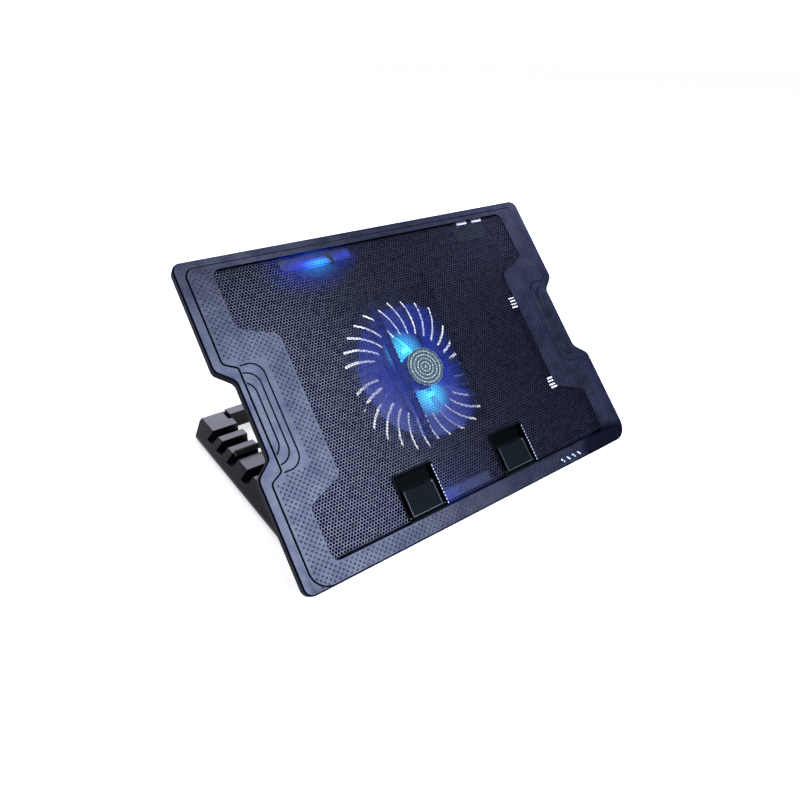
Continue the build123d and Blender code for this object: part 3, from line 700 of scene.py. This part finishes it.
def label_finish(shade):
    """A printed hub label: pale rings about the shaft, with no lettering, and painted light that makes the
    rings glow.
    """
    shader = Shader("label")
    radius = shader.radius(shader.on_deck(FAN))
    wave = (radius * (2 * pi / RING_PITCH)).math("SINE") * 0.5 + 0.5
    rings = wave.math("POWER", 2.4)
    speckle = shader.noise(900, 3.0)
    print_tone = rings * 0.8 + speckle * 0.2
    # The rings' print is the label's own, and their emission is painted light
    shader.set(Base_Color=shader.shades(print_tone, lighter(shade, 0.05), lighter(shade, 0.9)),
               Roughness=speckle * 0.15 + 0.35, Specular_IOR_Level=0.2,
               Emission_Color=shader.shades(rings, lighter(shade, 0.15), lighter(shade, 4.0)),
               Emission_Strength=0.3)
    shader.bump(rings, 0.06 * MM)
    return shader.material


def board_finish():
    """Green circuit board with tracks under its lacquer."""
    shader = Shader("board_green")
    tracks = shader.node("ShaderNodeTexBrick", {"offset": 0.37}, {
        "Vector": shader.on_deck(), "Scale": 190.0, "Mortar Size": 0.03,
        "Color1": (0.0004, 0.002, 0.0012, 1), "Color2": (0.0006, 0.0025, 0.0015, 1),
        "Mortar": (0.0015, 0.006, 0.003, 1)})
    shader.set(Base_Color=tracks.outputs[0], Roughness=shader.noise(300) * 0.1 + 0.35,
               Specular_IOR_Level=0.08)
    shader.bump(shader.value(tracks, 1), 0.03 * MM)
    return shader.material


def windings_finish():
    """Enamelled copper wire, wound round the stator."""
    shader = Shader("copper")
    depth = shader.split(shader.on_deck())[2]
    turns = (depth * (2 * pi / WIRE_PITCH)).math("SINE") * 0.5 + 0.5
    shader.set(Base_Color=shader.shades(turns, (0.25, 0.08, 0.02), (0.75, 0.32, 0.12)), Metallic=0.9,
               Roughness=turns * 0.15 + 0.25)
    shader.bump(turns, 0.1 * MM)
    return shader.material


def lamp_places():
    """The middles of the lenses beside the hub, on the deck."""
    points = [TO_DECK @ v.co for v in frame["nodes"]["hub_leds"].data.vertices]
    groups = [[p for p in points if p.y > FAN.y], [p for p in points if p.y < FAN.y]]
    return [sum(group, Vector()) / len(group) for group in groups]


def floor_finish():
    """A pale floor and low wall, as bright as paper wherever they are seen, under a soft shadow."""
    shader = Shader("floor")
    paper = shader.noise(3, 3.0)
    pool = (1 - shader.distance(shader.place()) / POOL_REACH).math("MAXIMUM", 0.0)
    path = shader.node("ShaderNodeLightPath")
    seen = shader.value(path, "Is Camera Ray").math("MAXIMUM", shader.value(path, "Is Glossy Ray"))
    seen = seen.math("MAXIMUM", shader.value(path, "Is Transmission Ray"))
    glow = shader.node("ShaderNodeEmission", sockets={
        "Color": shader.shades(pool * 0.6 + paper * 0.02, (0.96, 0.96, 0.96), (0.5, 0.5, 0.5)),
        "Strength": 1.0})
    shader.set(Base_Color=shader.shades(paper, (0.60, 0.60, 0.60), (0.64, 0.64, 0.64)), Roughness=0.9,
               Specular_IOR_Level=0.0)
    clear = shader.node("ShaderNodeEmission", sockets={"Strength": 0.0})
    lit = shader.node("ShaderNodeMixShader", sockets={0: seen, 1: clear.outputs[0], 2: glow.outputs[0]})
    both = shader.node("ShaderNodeAddShader", sockets={0: shader.surface.outputs[0], 1: lit.outputs[0]})
    shader.tree.links.new(both.outputs[0], shader.output.inputs["Surface"])
    return shader.material


def make_finishes(colours):
    """The finishes: one for each slot of the record, and more for pieces that need their own."""
    FINISHES.update({
        "deck_plastic": deck_finish(colours.deck),
        "base_plastic": moulded("base_plastic", colours.base, 0.3, sheen=0.22),
        "gloss_black": moulded("gloss_black", colours.stops, 0.12, 700, 0.01 * MM, coat=0.6),
        "dark_plastic": shell_finish(colours.shell, colours.lamp),
        "mesh_steel": painted("mesh_steel", colours.sheet),
        "screw_steel": painted("screw_steel", lighter(colours.sheet, 2.5), 0.35),
        "steel_pin": brushed("steel_pin", (0.55, 0.55, 0.57)),
        "socket_steel": brushed("socket_steel", (0.72, 0.72, 0.74), 0.25),
        "rubber": rubber("rubber", (0.022, 0.022, 0.022)),
        "rotor_blue": rotor_finish(colours.rotor),
        "label": label_finish(colours.label),
        "led_blue": lamp_finish(colours.lamp),
        "light_bar_back": bar_finish("bar_blue_back", BACK_LAMPS, BACK_GAP),
        "light_bar_front": bar_finish("bar_blue_front", FRONT_LAMPS),
        "stop_black": stop_finish(colours.stops),
        "prop_plastic": moulded("prop_plastic", (0.005, 0.005, 0.007), 0.35, sheen=0.25),
        # Painted highlight for the stops' edges
        "bead": moulded("bead", (0.022, 0.028, 0.025), 0.4, sheen=0.3),
        "stud_black": moulded("stud_black", (0.005, 0.008, 0.005), 0.4, sheen=0.06),
        "corner_trim": moulded("trim_black", (0.001, 0.001, 0.003), 0.3, sheen=0.06),
        # Pale dashes: painted glints on the housings, and the plain pale dashes on the front border
        "mark_white": moulded("mark_white", (0.30, 0.32, 0.36), 0.4),
        "stop_pin_left": brushed("pin_dark_left", (0.02, 0.02, 0.022), 0.4),
        "stop_pin_right": brushed("pin_dark_right", (0.02, 0.02, 0.022), 0.4),
        "board_green": board_finish(),
        "copper": windings_finish(),
    })


def dress(obj, finish):
    """Give the whole piece one finish."""
    obj.data.materials.clear()
    obj.data.materials.append(FINISHES[finish])
    for polygon in obj.data.polygons:
        polygon.material_index = 0


# Making pieces


def linked(name, data):
    """A new object in the scene, at the origin, holding a mesh, a light or a camera."""
    obj = bpy.data.objects.new(name, data)
    bpy.context.scene.collection.objects.link(obj)
    return obj


def mesh_of(bm, name):
    """A plain mesh from a finished bmesh, which is freed."""
    mesh = bpy.data.meshes.new(name)
    bm.to_mesh(mesh)
    bm.free()
    return mesh


def baked(obj, name):
    """The object with its modifiers applied, as a plain mesh object; the first is removed."""
    depsgraph = bpy.context.evaluated_depsgraph_get()
    mesh = bpy.data.meshes.new_from_object(obj.evaluated_get(depsgraph))
    bpy.data.objects.remove(obj)
    mesh.name = name
    return linked(name, mesh)


def repeat_tree():
    """Geometry Nodes: a stamp on every point, joined where stamps meet, with one material."""
    tree = bpy.data.node_groups.new("repeat", "GeometryNodeTree")
    for name, way, kind in (("Geometry", "INPUT", "Geometry"), ("Stamp", "INPUT", "Object"),
                            ("Join Distance", "INPUT", "Float"), ("Finish", "INPUT", "Material"),
                            ("Geometry", "OUTPUT", "Geometry")):
        tree.interface.new_socket(name, in_out=way, socket_type="NodeSocket" + kind)
    start = tree.nodes.new("NodeGroupInput")
    end = tree.nodes.new("NodeGroupOutput")
    stamp = tree.nodes.new("GeometryNodeObjectInfo")
    instances = tree.nodes.new("GeometryNodeInstanceOnPoints")
    real = tree.nodes.new("GeometryNodeRealizeInstances")
    join = tree.nodes.new("GeometryNodeMergeByDistance")
    finish = tree.nodes.new("GeometryNodeSetMaterial")
    link = tree.links.new
    link(start.outputs["Stamp"], stamp.inputs["Object"])
    link(start.outputs["Geometry"], instances.inputs["Points"])
    link(stamp.outputs["Geometry"], instances.inputs["Instance"])
    link(instances.outputs[0], real.inputs[0])
    link(real.outputs[0], join.inputs["Geometry"])
    link(start.outputs["Join Distance"], join.inputs["Distance"])
    link(join.outputs[0], finish.inputs["Geometry"])
    link(start.outputs["Finish"], finish.inputs["Material"])
    link(finish.outputs[0], end.inputs[0])
    return tree


def repeated(name, points, stamp, finish, join=0.0001 * MM, thickness=0.0):
    """A stamp mesh at every given point of the deck, welded and baked into one plain piece."""
    tree = bpy.data.node_groups.get("repeat") or repeat_tree()
    mesh = bpy.data.meshes.new(name)
    mesh.from_pydata([tuple(p) for p in points], [], [])
    obj = linked(name + "_points", mesh)
    stamp_obj = linked(name + "_stamp", stamp)
    modifier = obj.modifiers.new("repeat", "NODES")
    modifier.node_group = tree
    values = {"Stamp": stamp_obj, "Join Distance": join, "Finish": FINISHES[finish]}
    for item in tree.interface.items_tree:
        if item.in_out == "INPUT" and item.name in values:
            modifier[item.identifier] = values[item.name]
    if thickness:
        wall = obj.modifiers.new("wall", "SOLIDIFY")
        wall.thickness = thickness
        wall.offset = -1
    piece = baked(obj, name)
    bpy.data.objects.remove(stamp_obj)
    piece.data.transform(DECK)
    return piece


def soft_copy(node, width, finish):
    """A CAD node's shape with its edges rounded over, standing for that node."""
    source = frame["nodes"][node]
    bm = bmesh.new()
    bm.from_mesh(source.data)
    bmesh.ops.remove_doubles(bm, verts=bm.verts, dist=WELD)
    bmesh.ops.dissolve_limit(bm, angle_limit=radians(FLAT_ANGLE), verts=bm.verts, edges=bm.edges)
    bmesh.ops.recalc_face_normals(bm, faces=bm.faces)
    obj = linked(node + "_edges", mesh_of(bm, node))
    smooth(obj)
    bevel = obj.modifiers.new("bevel", "BEVEL")
    bevel.width = width
    bevel.segments = BEVEL_SEGMENTS
    bevel.limit_method = "ANGLE"
    bevel.angle_limit = radians(SHARP_ANGLE)
    bevel.use_clamp_overlap = False
    bevel.harden_normals = True
    piece = baked(obj, node + "_moulding")
    dress(piece, finish)
    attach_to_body(piece, source["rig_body"])
    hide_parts(node)
    return piece


def smooth(obj, angle=MOULDING_SMOOTH):
    """Shade smoothly, with sharp edges kept past that angle."""
    obj.data.shade_smooth()
    obj.data.set_sharp_from_angle(angle=radians(angle))


def attach(piece, body):
    """Ride the piece on a body."""
    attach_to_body(piece, body)


def window_half(y, grow=0.0):
    """Half the width of the deck's window at y, grown outwards."""
    (_, low_y, _), (high_x, high_y, _) = deck_box("mesh_panel")
    if not low_y + WINDOW_LAP - grow <= y <= high_y - WINDOW_LAP + grow:
        return -1.0
    into_front = (y - WAIST_FRONT) / WAIST_SLOPE + 0.5
    into_back = (WAIST_BACK - y) / WAIST_SLOPE + 0.5
    inward = max(0.0, min(1.0, into_front, into_back))
    return high_x - WINDOW_LAP - WAIST_STEP * inward + grow


def inside_box(x, y, node, gap=0.0):
    """Whether a point of the deck lies over a CAD node's box, grown by a gap."""
    low, high = deck_box(node)
    return low.x - gap < x < high.x + gap and low.y - gap < y < high.y + gap


# The pieces, one operator for each group


class PAD_OT_finishes(bpy.types.Operator):
    """Make the finishes and put them on the frame's own pieces"""
    bl_idname = "pad.finishes"
    bl_label = "Finishes"

    def execute(self, context):
        make_finishes(context.scene.pad_finish)
        for node, obj in frame["nodes"].items():
            dress(obj, node if node in FINISHES else SLOTS[node])
        return {"FINISHED"}


def punched_cell(side, hole):
    """One six-sided cell of the sheet round its hole, facing up."""
    bm = bmesh.new()
    outer, inner = ([bm.verts.new((radius * sin(pi / 3 * i), radius * cos(pi / 3 * i), 0)) for i in range(6)]
                    for radius in (side, hole))
    for i in range(6):
        j = (i + 1) % 6
        bm.faces.new((outer[i], inner[i], inner[j], outer[j]))
    bmesh.ops.recalc_face_normals(bm, faces=bm.faces)
    if bm.faces[:][0].normal.z < 0:
        bmesh.ops.reverse_faces(bm, faces=bm.faces)
    return mesh_of(bm, "punch")


class PAD_OT_mesh_sheet(bpy.types.Operator):
    """Punch the steel sheet, in bands from front to back"""
    bl_idname = "pad.mesh_sheet"
    bl_label = "Perforated sheet"

    def execute(self, context):
        settings = context.scene.pad_mesh
        pitch = settings.pitch
        side = pitch / sqrt(3)
        low, high = deck_box("mesh_panel")
        step = pitch * sqrt(3) / 2
        rows = int((high.y - low.y) / step)
        half_row = int(high.x / pitch) + 1
        bands = [[] for _ in range(SHEET_BANDS)]
        for row in range(rows + 1):
            y = low.y + side + row * step
            if not WINDOW_FRONT + side + SHADOW_GAP < y < WINDOW_BACK - side - SHADOW_GAP:
                continue
            band = min(SHEET_BANDS - 1, SHEET_BANDS * row // (rows + 1))
            reach = window_half(y, HOLES_UNDER - side)
            for column in range(-half_row, half_row + 1):
                x = (column + 0.5 * (row % 2)) * pitch
                if abs(x) > reach:
                    continue
                if any(inside_box(x, y, f"stop_housing_{s}", HOUSING_GAP) for s in ("left", "right")):
                    continue
                bands[band].append((x, y, high.z))
        for number, points in enumerate(bands, 1):
            piece = repeated(f"mesh_sheet_{number}", points, punched_cell(side, settings.hole), "mesh_steel",
                             join=SHEET_WELD, thickness=settings.thickness)
            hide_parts("mesh_panel")
            attach(piece, "deck")
        return {"FINISHED"}


def ring(bm, radius, height, sides, centre=(0, 0)):
    """Vertices evenly round a centre."""
    turns = [2 * pi * i / sides for i in range(sides)]
    return [bm.verts.new((centre[0] + radius * cos(turn), centre[1] + radius * sin(turn), height))
            for turn in turns]


def dome(radius, height, sides=8):
    """A low round bump with a few dozen faces."""
    bm = bmesh.new()
    loops = [ring(bm, radius * reach, height * rise, sides) for reach, rise in BUMP_RINGS]
    peak = bm.verts.new((0, 0, height))
    for lower, upper in zip(loops, loops[1:]):
        for i in range(sides):
            j = (i + 1) % sides
            bm.faces.new((lower[i], lower[j], upper[j], upper[i]))
    for i in range(sides):
        bm.faces.new((loops[-1][i], loops[-1][(i + 1) % sides], peak))
    bm.faces.new(list(reversed(loops[0])))
    return mesh_of(bm, "dome")


def on_border(x, y, edge, settings):
    """Whether a place right of the middle lies on the part of the border that carries bumps."""
    if x < window_half(y, settings.margin) or y > edge.y - settings.back:
        return False
    land = edge.x - (NOTCH_SIDE if NOTCH_FRONT < y < NOTCH_BACK else settings.side)
    if GRIP_FRONT < y < GRIP_BACK:
        land = min(land, edge.x - GRIP_SIDE)
    corner = settings.corner
    if y < corner and x > land - corner:
        return hypot(x - land + corner, corner - y) <= corner
    return x <= land


class PAD_OT_border_bumps(bpy.types.Operator):
    """Raise the field of small bumps on the deck's border"""
    bl_idname = "pad.border_bumps"
    bl_label = "Border bumps"

    def execute(self, context):
        settings = context.scene.pad_border
        edge = deck_box("top_bezel")[1]
        pitch = settings.pitch
        fields = {"left": [], "right": []}
        columns = int(edge.x / pitch) + 1
        for row in range(int(edge.y / (pitch / 2))):
            y = settings.front + row * pitch / 2
            for column in range(-columns, columns + 1):
                x = (column + 0.5 * (row % 2)) * pitch
                if on_border(abs(x), y, edge, settings) and not inside_box(x, y, "corner_trim", TRIM_GAP):
                    fields["left" if x < 0 else "right"].append((x, y, -SINK))
        for name, points in fields.items():
            bump = dome(settings.radius, settings.height)
            piece = repeated(f"border_bumps_{name}", points, bump, "deck_plastic")
            smooth(piece, BUMP_SMOOTH)
            attach(piece, "deck")
        return {"FINISHED"}


def blocks(corners, finish, name):
    """Plain blocks on the deck, each from its lowest and highest corner, as one piece."""
    bm = bmesh.new()
    for low, high in corners:
        size = Vector(high) - Vector(low)
        made = bmesh.ops.create_cube(bm, size=1)["verts"]
        bmesh.ops.scale(bm, vec=size, verts=made)
        bmesh.ops.translate(bm, vec=(Vector(low) + Vector(high)) / 2, verts=made)
    piece = linked(name, mesh_of(bm, name))
    piece.data.transform(DECK)
    dress(piece, finish)
    return piece


def stud(radius, height):
    """A four-sided stud with sloping flanks, its sides along the stop's edges."""
    bm = bmesh.new()
    bmesh.ops.create_cone(bm, cap_ends=True, segments=4, radius1=radius, radius2=radius * STUD_TAPER,
                          depth=height)
    bmesh.ops.rotate(bm, verts=bm.verts, cent=(0, 0, 0), matrix=Matrix.Rotation(pi / 4, 3, "Z"))
    return mesh_of(bm, "stud")


class PAD_OT_stops(bpy.types.Operator):
    """Round the flip-up stops, stud their faces and give their edges a bead of painted highlight"""
    bl_idname = "pad.stops"
    bl_label = "Laptop stops"

    def execute(self, context):
        settings = context.scene.pad_stops
        pitch, bead, glint_square, inset = settings.pitch, settings.bead, settings.glint_square, settings.stud_inset
        for side in ("left", "right"):
            soft_copy(f"stop_flap_{side}", STOP_EDGE, "stop_black")
            low, high = deck_box(f"stop_flap_{side}")
            start = (low.x + inset, low.y + inset + settings.stud_front)
            columns = int((high.x - inset - start[0]) / pitch) + 1
            rows = int((high.y - inset - start[1]) / pitch) + 1
            points = [(start[0] + i * pitch, start[1] + j * pitch, high.z - SINK)
                      for i in range(columns) for j in range(rows)]
            stamp = stud(settings.stud, settings.stud_height)
            studs = repeated(f"stop_studs_{side}", points, stamp, "stud_black")
            attach(studs, f"stop_{side}")

            # Painted highlight: a pale bead along the stop's edges, with a square glint at its right back
            # corner
            left, right = low.x + settings.bead_side, high.x - settings.bead_side
            front, back = low.y + settings.bead_front, high.y - settings.bead_back
            under, over = high.z - ROOT, high.z + settings.bead_height
            rim = blocks([((left, front, under), (left + bead, back, over)),
                          ((right - bead, front, under), (right, back, over)),
                          ((left, front, under), (right, front + bead, over)),
                          ((right - glint_square, back - glint_square, under), (right, back, over))],
                         "bead", f"stop_bead_{side}")
            attach(rim, f"stop_{side}")
        return {"FINISHED"}


class PAD_OT_housings(bpy.types.Operator):
    """Round the stops' housings, and give them a comb behind and pale dashes of painted glint beside the stop
    """
    bl_idname = "pad.housings"
    bl_label = "Stop housings"

    def execute(self, context):
        settings = context.scene.pad_housings
        for side in ("left", "right"):
            soft_copy(f"stop_housing_{side}", STOP_EDGE, "stop_black")
            low, high = deck_box(f"stop_housing_{side}")
            pitch = settings.rib_pitch
            left, back = low.x + settings.rib_side, high.y - settings.rib_back
            foot = low.z + settings.rib_foot
            ribs = [((left + i * pitch, back - settings.rib_length, foot),
                     (left + settings.rib + i * pitch, back, foot + settings.rib_height))
                    for i in range(int((high.x - low.x - settings.comb_free) / pitch) + 1)]
            attach(blocks(ribs, "stop_black", f"stop_comb_{side}"), "deck")

            # Painted glints: a row of pale dashes along the housing's right edge
            pitch = settings.dash_pitch
            right, front = high.x - settings.dash_side, low.y + settings.dash_front
            dashes = [((right - settings.dash, front + i * pitch, high.z - ROOT),
                       (right, front + (i + settings.dash_share) * pitch, high.z + settings.dash_height))
                      for i in range(int((high.y - low.y - settings.dash_free) / pitch))]
            attach(blocks(dashes, "mark_white", f"stop_dashes_{side}"), "deck")
        return {"FINISHED"}


class PAD_OT_front_dashes(bpy.types.Operator):
    """Set the small pale slanted dashes in the front border"""
    bl_idname = "pad.front_lamps"
    bl_label = "Front dashes"

    def execute(self, context):
        settings = context.scene.pad_lamps
        bm = bmesh.new()
        for i in range(settings.count):
            made = bmesh.ops.create_cube(bm, size=1)["verts"]
            bmesh.ops.scale(bm, vec=(settings.width, settings.length, settings.height), verts=made)
            bmesh.ops.rotate(bm, verts=made, cent=(0, 0, 0), matrix=Matrix.Rotation(settings.slant, 3, "Z"))
            place = (settings.start + i * settings.pitch, settings.front, 0)
            bmesh.ops.translate(bm, vec=place, verts=made)
        # The pale dashes are in a plain moulded finish and give no light
        lamps = linked("front_lamps", mesh_of(bm, "front_lamps"))
        lamps.data.transform(DECK)
        dress(lamps, "mark_white")
        attach(lamps, "deck")
        return {"FINISHED"}


def blades_mesh(settings, radius, middle):
    """The blades' thin surfaces: each sweeps round as it runs out, and rises from edge to edge."""
    bm = bmesh.new()
    half_turn = settings.overlap * pi / settings.blades
    edges = ((-half_turn, -settings.rise), (0, -settings.crease), (half_turn, settings.rise))
    for blade in range(settings.blades):
        start = 2 * pi * blade / settings.blades
        rows = []
        for step in range(BLADE_STEPS + 1):
            along = step / BLADE_STEPS
            r = settings.cup - settings.root + (radius - settings.cup) * along
            lead = start + settings.sweep * along
            rows.append([bm.verts.new((FAN.x + r * cos(lead + turn), FAN.y + r * sin(lead + turn),
                                       middle + z)) for turn, z in edges])
        for near, far in zip(rows, rows[1:]):
            for i in range(2):
                bm.faces.new((near[i], far[i], far[i + 1], near[i + 1]))
    bmesh.ops.recalc_face_normals(bm, faces=bm.faces)
    return mesh_of(bm, "blades")


def cup_mesh(settings, low, high):
    """The rotor's cup: a round wall and a top with a soft shoulder, open below."""
    outer, inner, bore = settings.cup, settings.cup - settings.cup_wall, settings.bore
    shoulder, cut, ceiling = settings.shoulder, settings.shoulder_cut, high - settings.cup_wall
    profile = ((inner, low), (outer, low), (outer, high - shoulder), (outer - cut, high - cut),
               (outer - shoulder, high), (bore, high), (bore, ceiling), (inner, ceiling))
    bm = bmesh.new()
    loops = [ring(bm, radius, height, CUP_SIDES, FAN) for radius, height in profile]
    for here, there in zip(loops, loops[1:] + loops[:1]):
        for i in range(CUP_SIDES):
            j = (i + 1) % CUP_SIDES
            bm.faces.new((here[i], here[j], there[j], there[i]))
    bmesh.ops.recalc_face_normals(bm, faces=bm.faces)
    return mesh_of(bm, "rotor_cup")


class PAD_OT_fan(bpy.types.Operator):
    """Make the rotor from its pitched blades and its cup"""
    bl_idname = "pad.fan"
    bl_label = "Fan"

    def execute(self, context):
        settings = context.scene.pad_fan
        low, high = deck_box("fan_rotor")
        radius = min(high.x - low.x, high.y - low.y) / 2 - settings.tip_gap
        obj = linked("blades", blades_mesh(settings, radius, (low.z + high.z) / 2 + settings.lift))
        wall = obj.modifiers.new("wall", "SOLIDIFY")
        wall.thickness = settings.blade_wall
        wall.offset = 0
        for piece in (baked(obj, "rotor_blades"), linked("rotor_cup", cup_mesh(settings, low.z, high.z))):
            smooth(piece, ROTOR_SMOOTH)
            piece.data.transform(DECK)
            dress(piece, "rotor_blue")
            attach(piece, "rotor")
            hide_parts("fan_rotor")
        return {"FINISHED"}


class PAD_OT_border(bpy.types.Operator):
    """Round the edges of the deck's border and its grip grooves"""
    bl_idname = "pad.border"
    bl_label = "Deck border"

    def execute(self, context):
        soft_copy("top_bezel", BEZEL_EDGE, "deck_plastic")
        soft_copy("corner_trim", TRIM_EDGE, "corner_trim")
        return {"FINISHED"}


class PAD_OT_base(bpy.types.Operator):
    """Round the edges of the base and the prop"""
    bl_idname = "pad.base"
    bl_label = "Base and prop"

    def execute(self, context):
        soft_copy("base_frame", BASE_EDGE, "base_plastic")
        soft_copy("prop_frame", PROP_EDGE, "prop_plastic")
        return {"FINISHED"}


class PAD_OT_stage(bpy.types.Operator):
    """Set the floor, the lights and the camera"""
    bl_idname = "pad.stage"
    bl_label = "Stage"

    def execute(self, context):
        scene = context.scene
        bm = bmesh.new()
        bmesh.ops.create_circle(bm, cap_ends=True, segments=FLOOR_SIDES, radius=FLOOR_REACH)
        rim = [edge for edge in bm.edges if edge.is_boundary]
        wall = bmesh.ops.extrude_edge_only(bm, edges=rim)["geom"]
        top = [part for part in wall if isinstance(part, bmesh.types.BMVert)]
        bmesh.ops.translate(bm, vec=(0, 0, WALL_HEIGHT), verts=top)
        floor = linked("floor", mesh_of(bm, "floor"))
        floor.data.materials.append(floor_finish())

        world = bpy.data.worlds.new("studio")
        world.use_nodes = True
        scene.world = world
        tree = world.node_tree
        dim = tree.nodes["Background"]
        dim.inputs["Color"].default_value = (*WORLD_TINT, 1)
        dim.inputs["Strength"].default_value = WORLD_STRENGTH
        white = tree.nodes.new("ShaderNodeBackground")
        white.inputs["Color"].default_value = (1, 1, 1, 1)
        path = tree.nodes.new("ShaderNodeLightPath")
        seen = tree.nodes.new("ShaderNodeMixShader")
        tree.links.new(path.outputs["Is Camera Ray"], seen.inputs[0])
        tree.links.new(dim.outputs[0], seen.inputs[1])
        tree.links.new(white.outputs[0], seen.inputs[2])
        tree.links.new(seen.outputs[0], tree.nodes["World Output"].inputs["Surface"])

        middle = DECK @ Vector(DECK_MIDDLE)
        for name, (offset, size, power, tint) in STUDIO.items():
            light = bpy.data.lights.new(name, "AREA")
            light.shape = "RECTANGLE"
            light.size, light.size_y = size
            light.energy = power
            light.color = tint
            lamp = linked(name, light)
            lamp.location = middle + Vector(offset)
            lamp.rotation_euler = (-Vector(offset)).to_track_quat("-Z", "Y").to_euler()

        camera = bpy.data.cameras.new("camera")
        camera.lens = CAMERA_LENS
        camera.sensor_width = CAMERA_FILM
        camera.clip_start = CAMERA_NEAR
        view = linked("camera", camera)
        view.location = CAMERA_PLACE
        view.rotation_euler = Euler([radians(angle) for angle in CAMERA_TURN])
        scene.camera = view
        scene.view_settings.view_transform = "Standard"
        return {"FINISHED"}


class PAD_PT_panel(bpy.types.Panel):
    """The pad's pieces and settings"""
    bl_idname = "PAD_PT_panel"
    bl_label = "Cooling Pad"
    bl_space_type = "VIEW_3D"
    bl_region_type = "UI"
    bl_category = "Cooling Pad"

    def draw(self, context):
        for operator in OPERATORS:
            self.layout.operator(operator.bl_idname)
        for name in SETTINGS:
            group = getattr(context.scene, name)
            box = self.layout.box()
            for key in group.__annotations__:
                box.prop(group, key)


SETTINGS = {
    "pad_mesh": MeshSettings,
    "pad_border": BorderSettings,
    "pad_stops": StopSettings,
    "pad_housings": HousingSettings,
    "pad_lamps": FrontDashSettings,
    "pad_fan": FanSettings,
    "pad_finish": FinishSettings,
}
OPERATORS = (PAD_OT_stage, PAD_OT_finishes, PAD_OT_mesh_sheet, PAD_OT_border, PAD_OT_border_bumps,
             PAD_OT_stops, PAD_OT_housings, PAD_OT_front_dashes, PAD_OT_fan, PAD_OT_base)


def register():
    for group in SETTINGS.values():
        bpy.utils.register_class(group)
    for name, group in SETTINGS.items():
        setattr(bpy.types.Scene, name, PointerProperty(type=group))
    for made in (*OPERATORS, PAD_PT_panel):
        bpy.utils.register_class(made)


def unregister():
    for made in reversed((*OPERATORS, PAD_PT_panel)):
        bpy.utils.unregister_class(made)
    for name, group in reversed(SETTINGS.items()):
        delattr(bpy.types.Scene, name)
        bpy.utils.unregister_class(group)


def main():
    register()
    for operator in OPERATORS:
        group, name = operator.bl_idname.split(".")
        getattr(getattr(bpy.ops, group), name)()


if __name__ == "__main__":
    main()
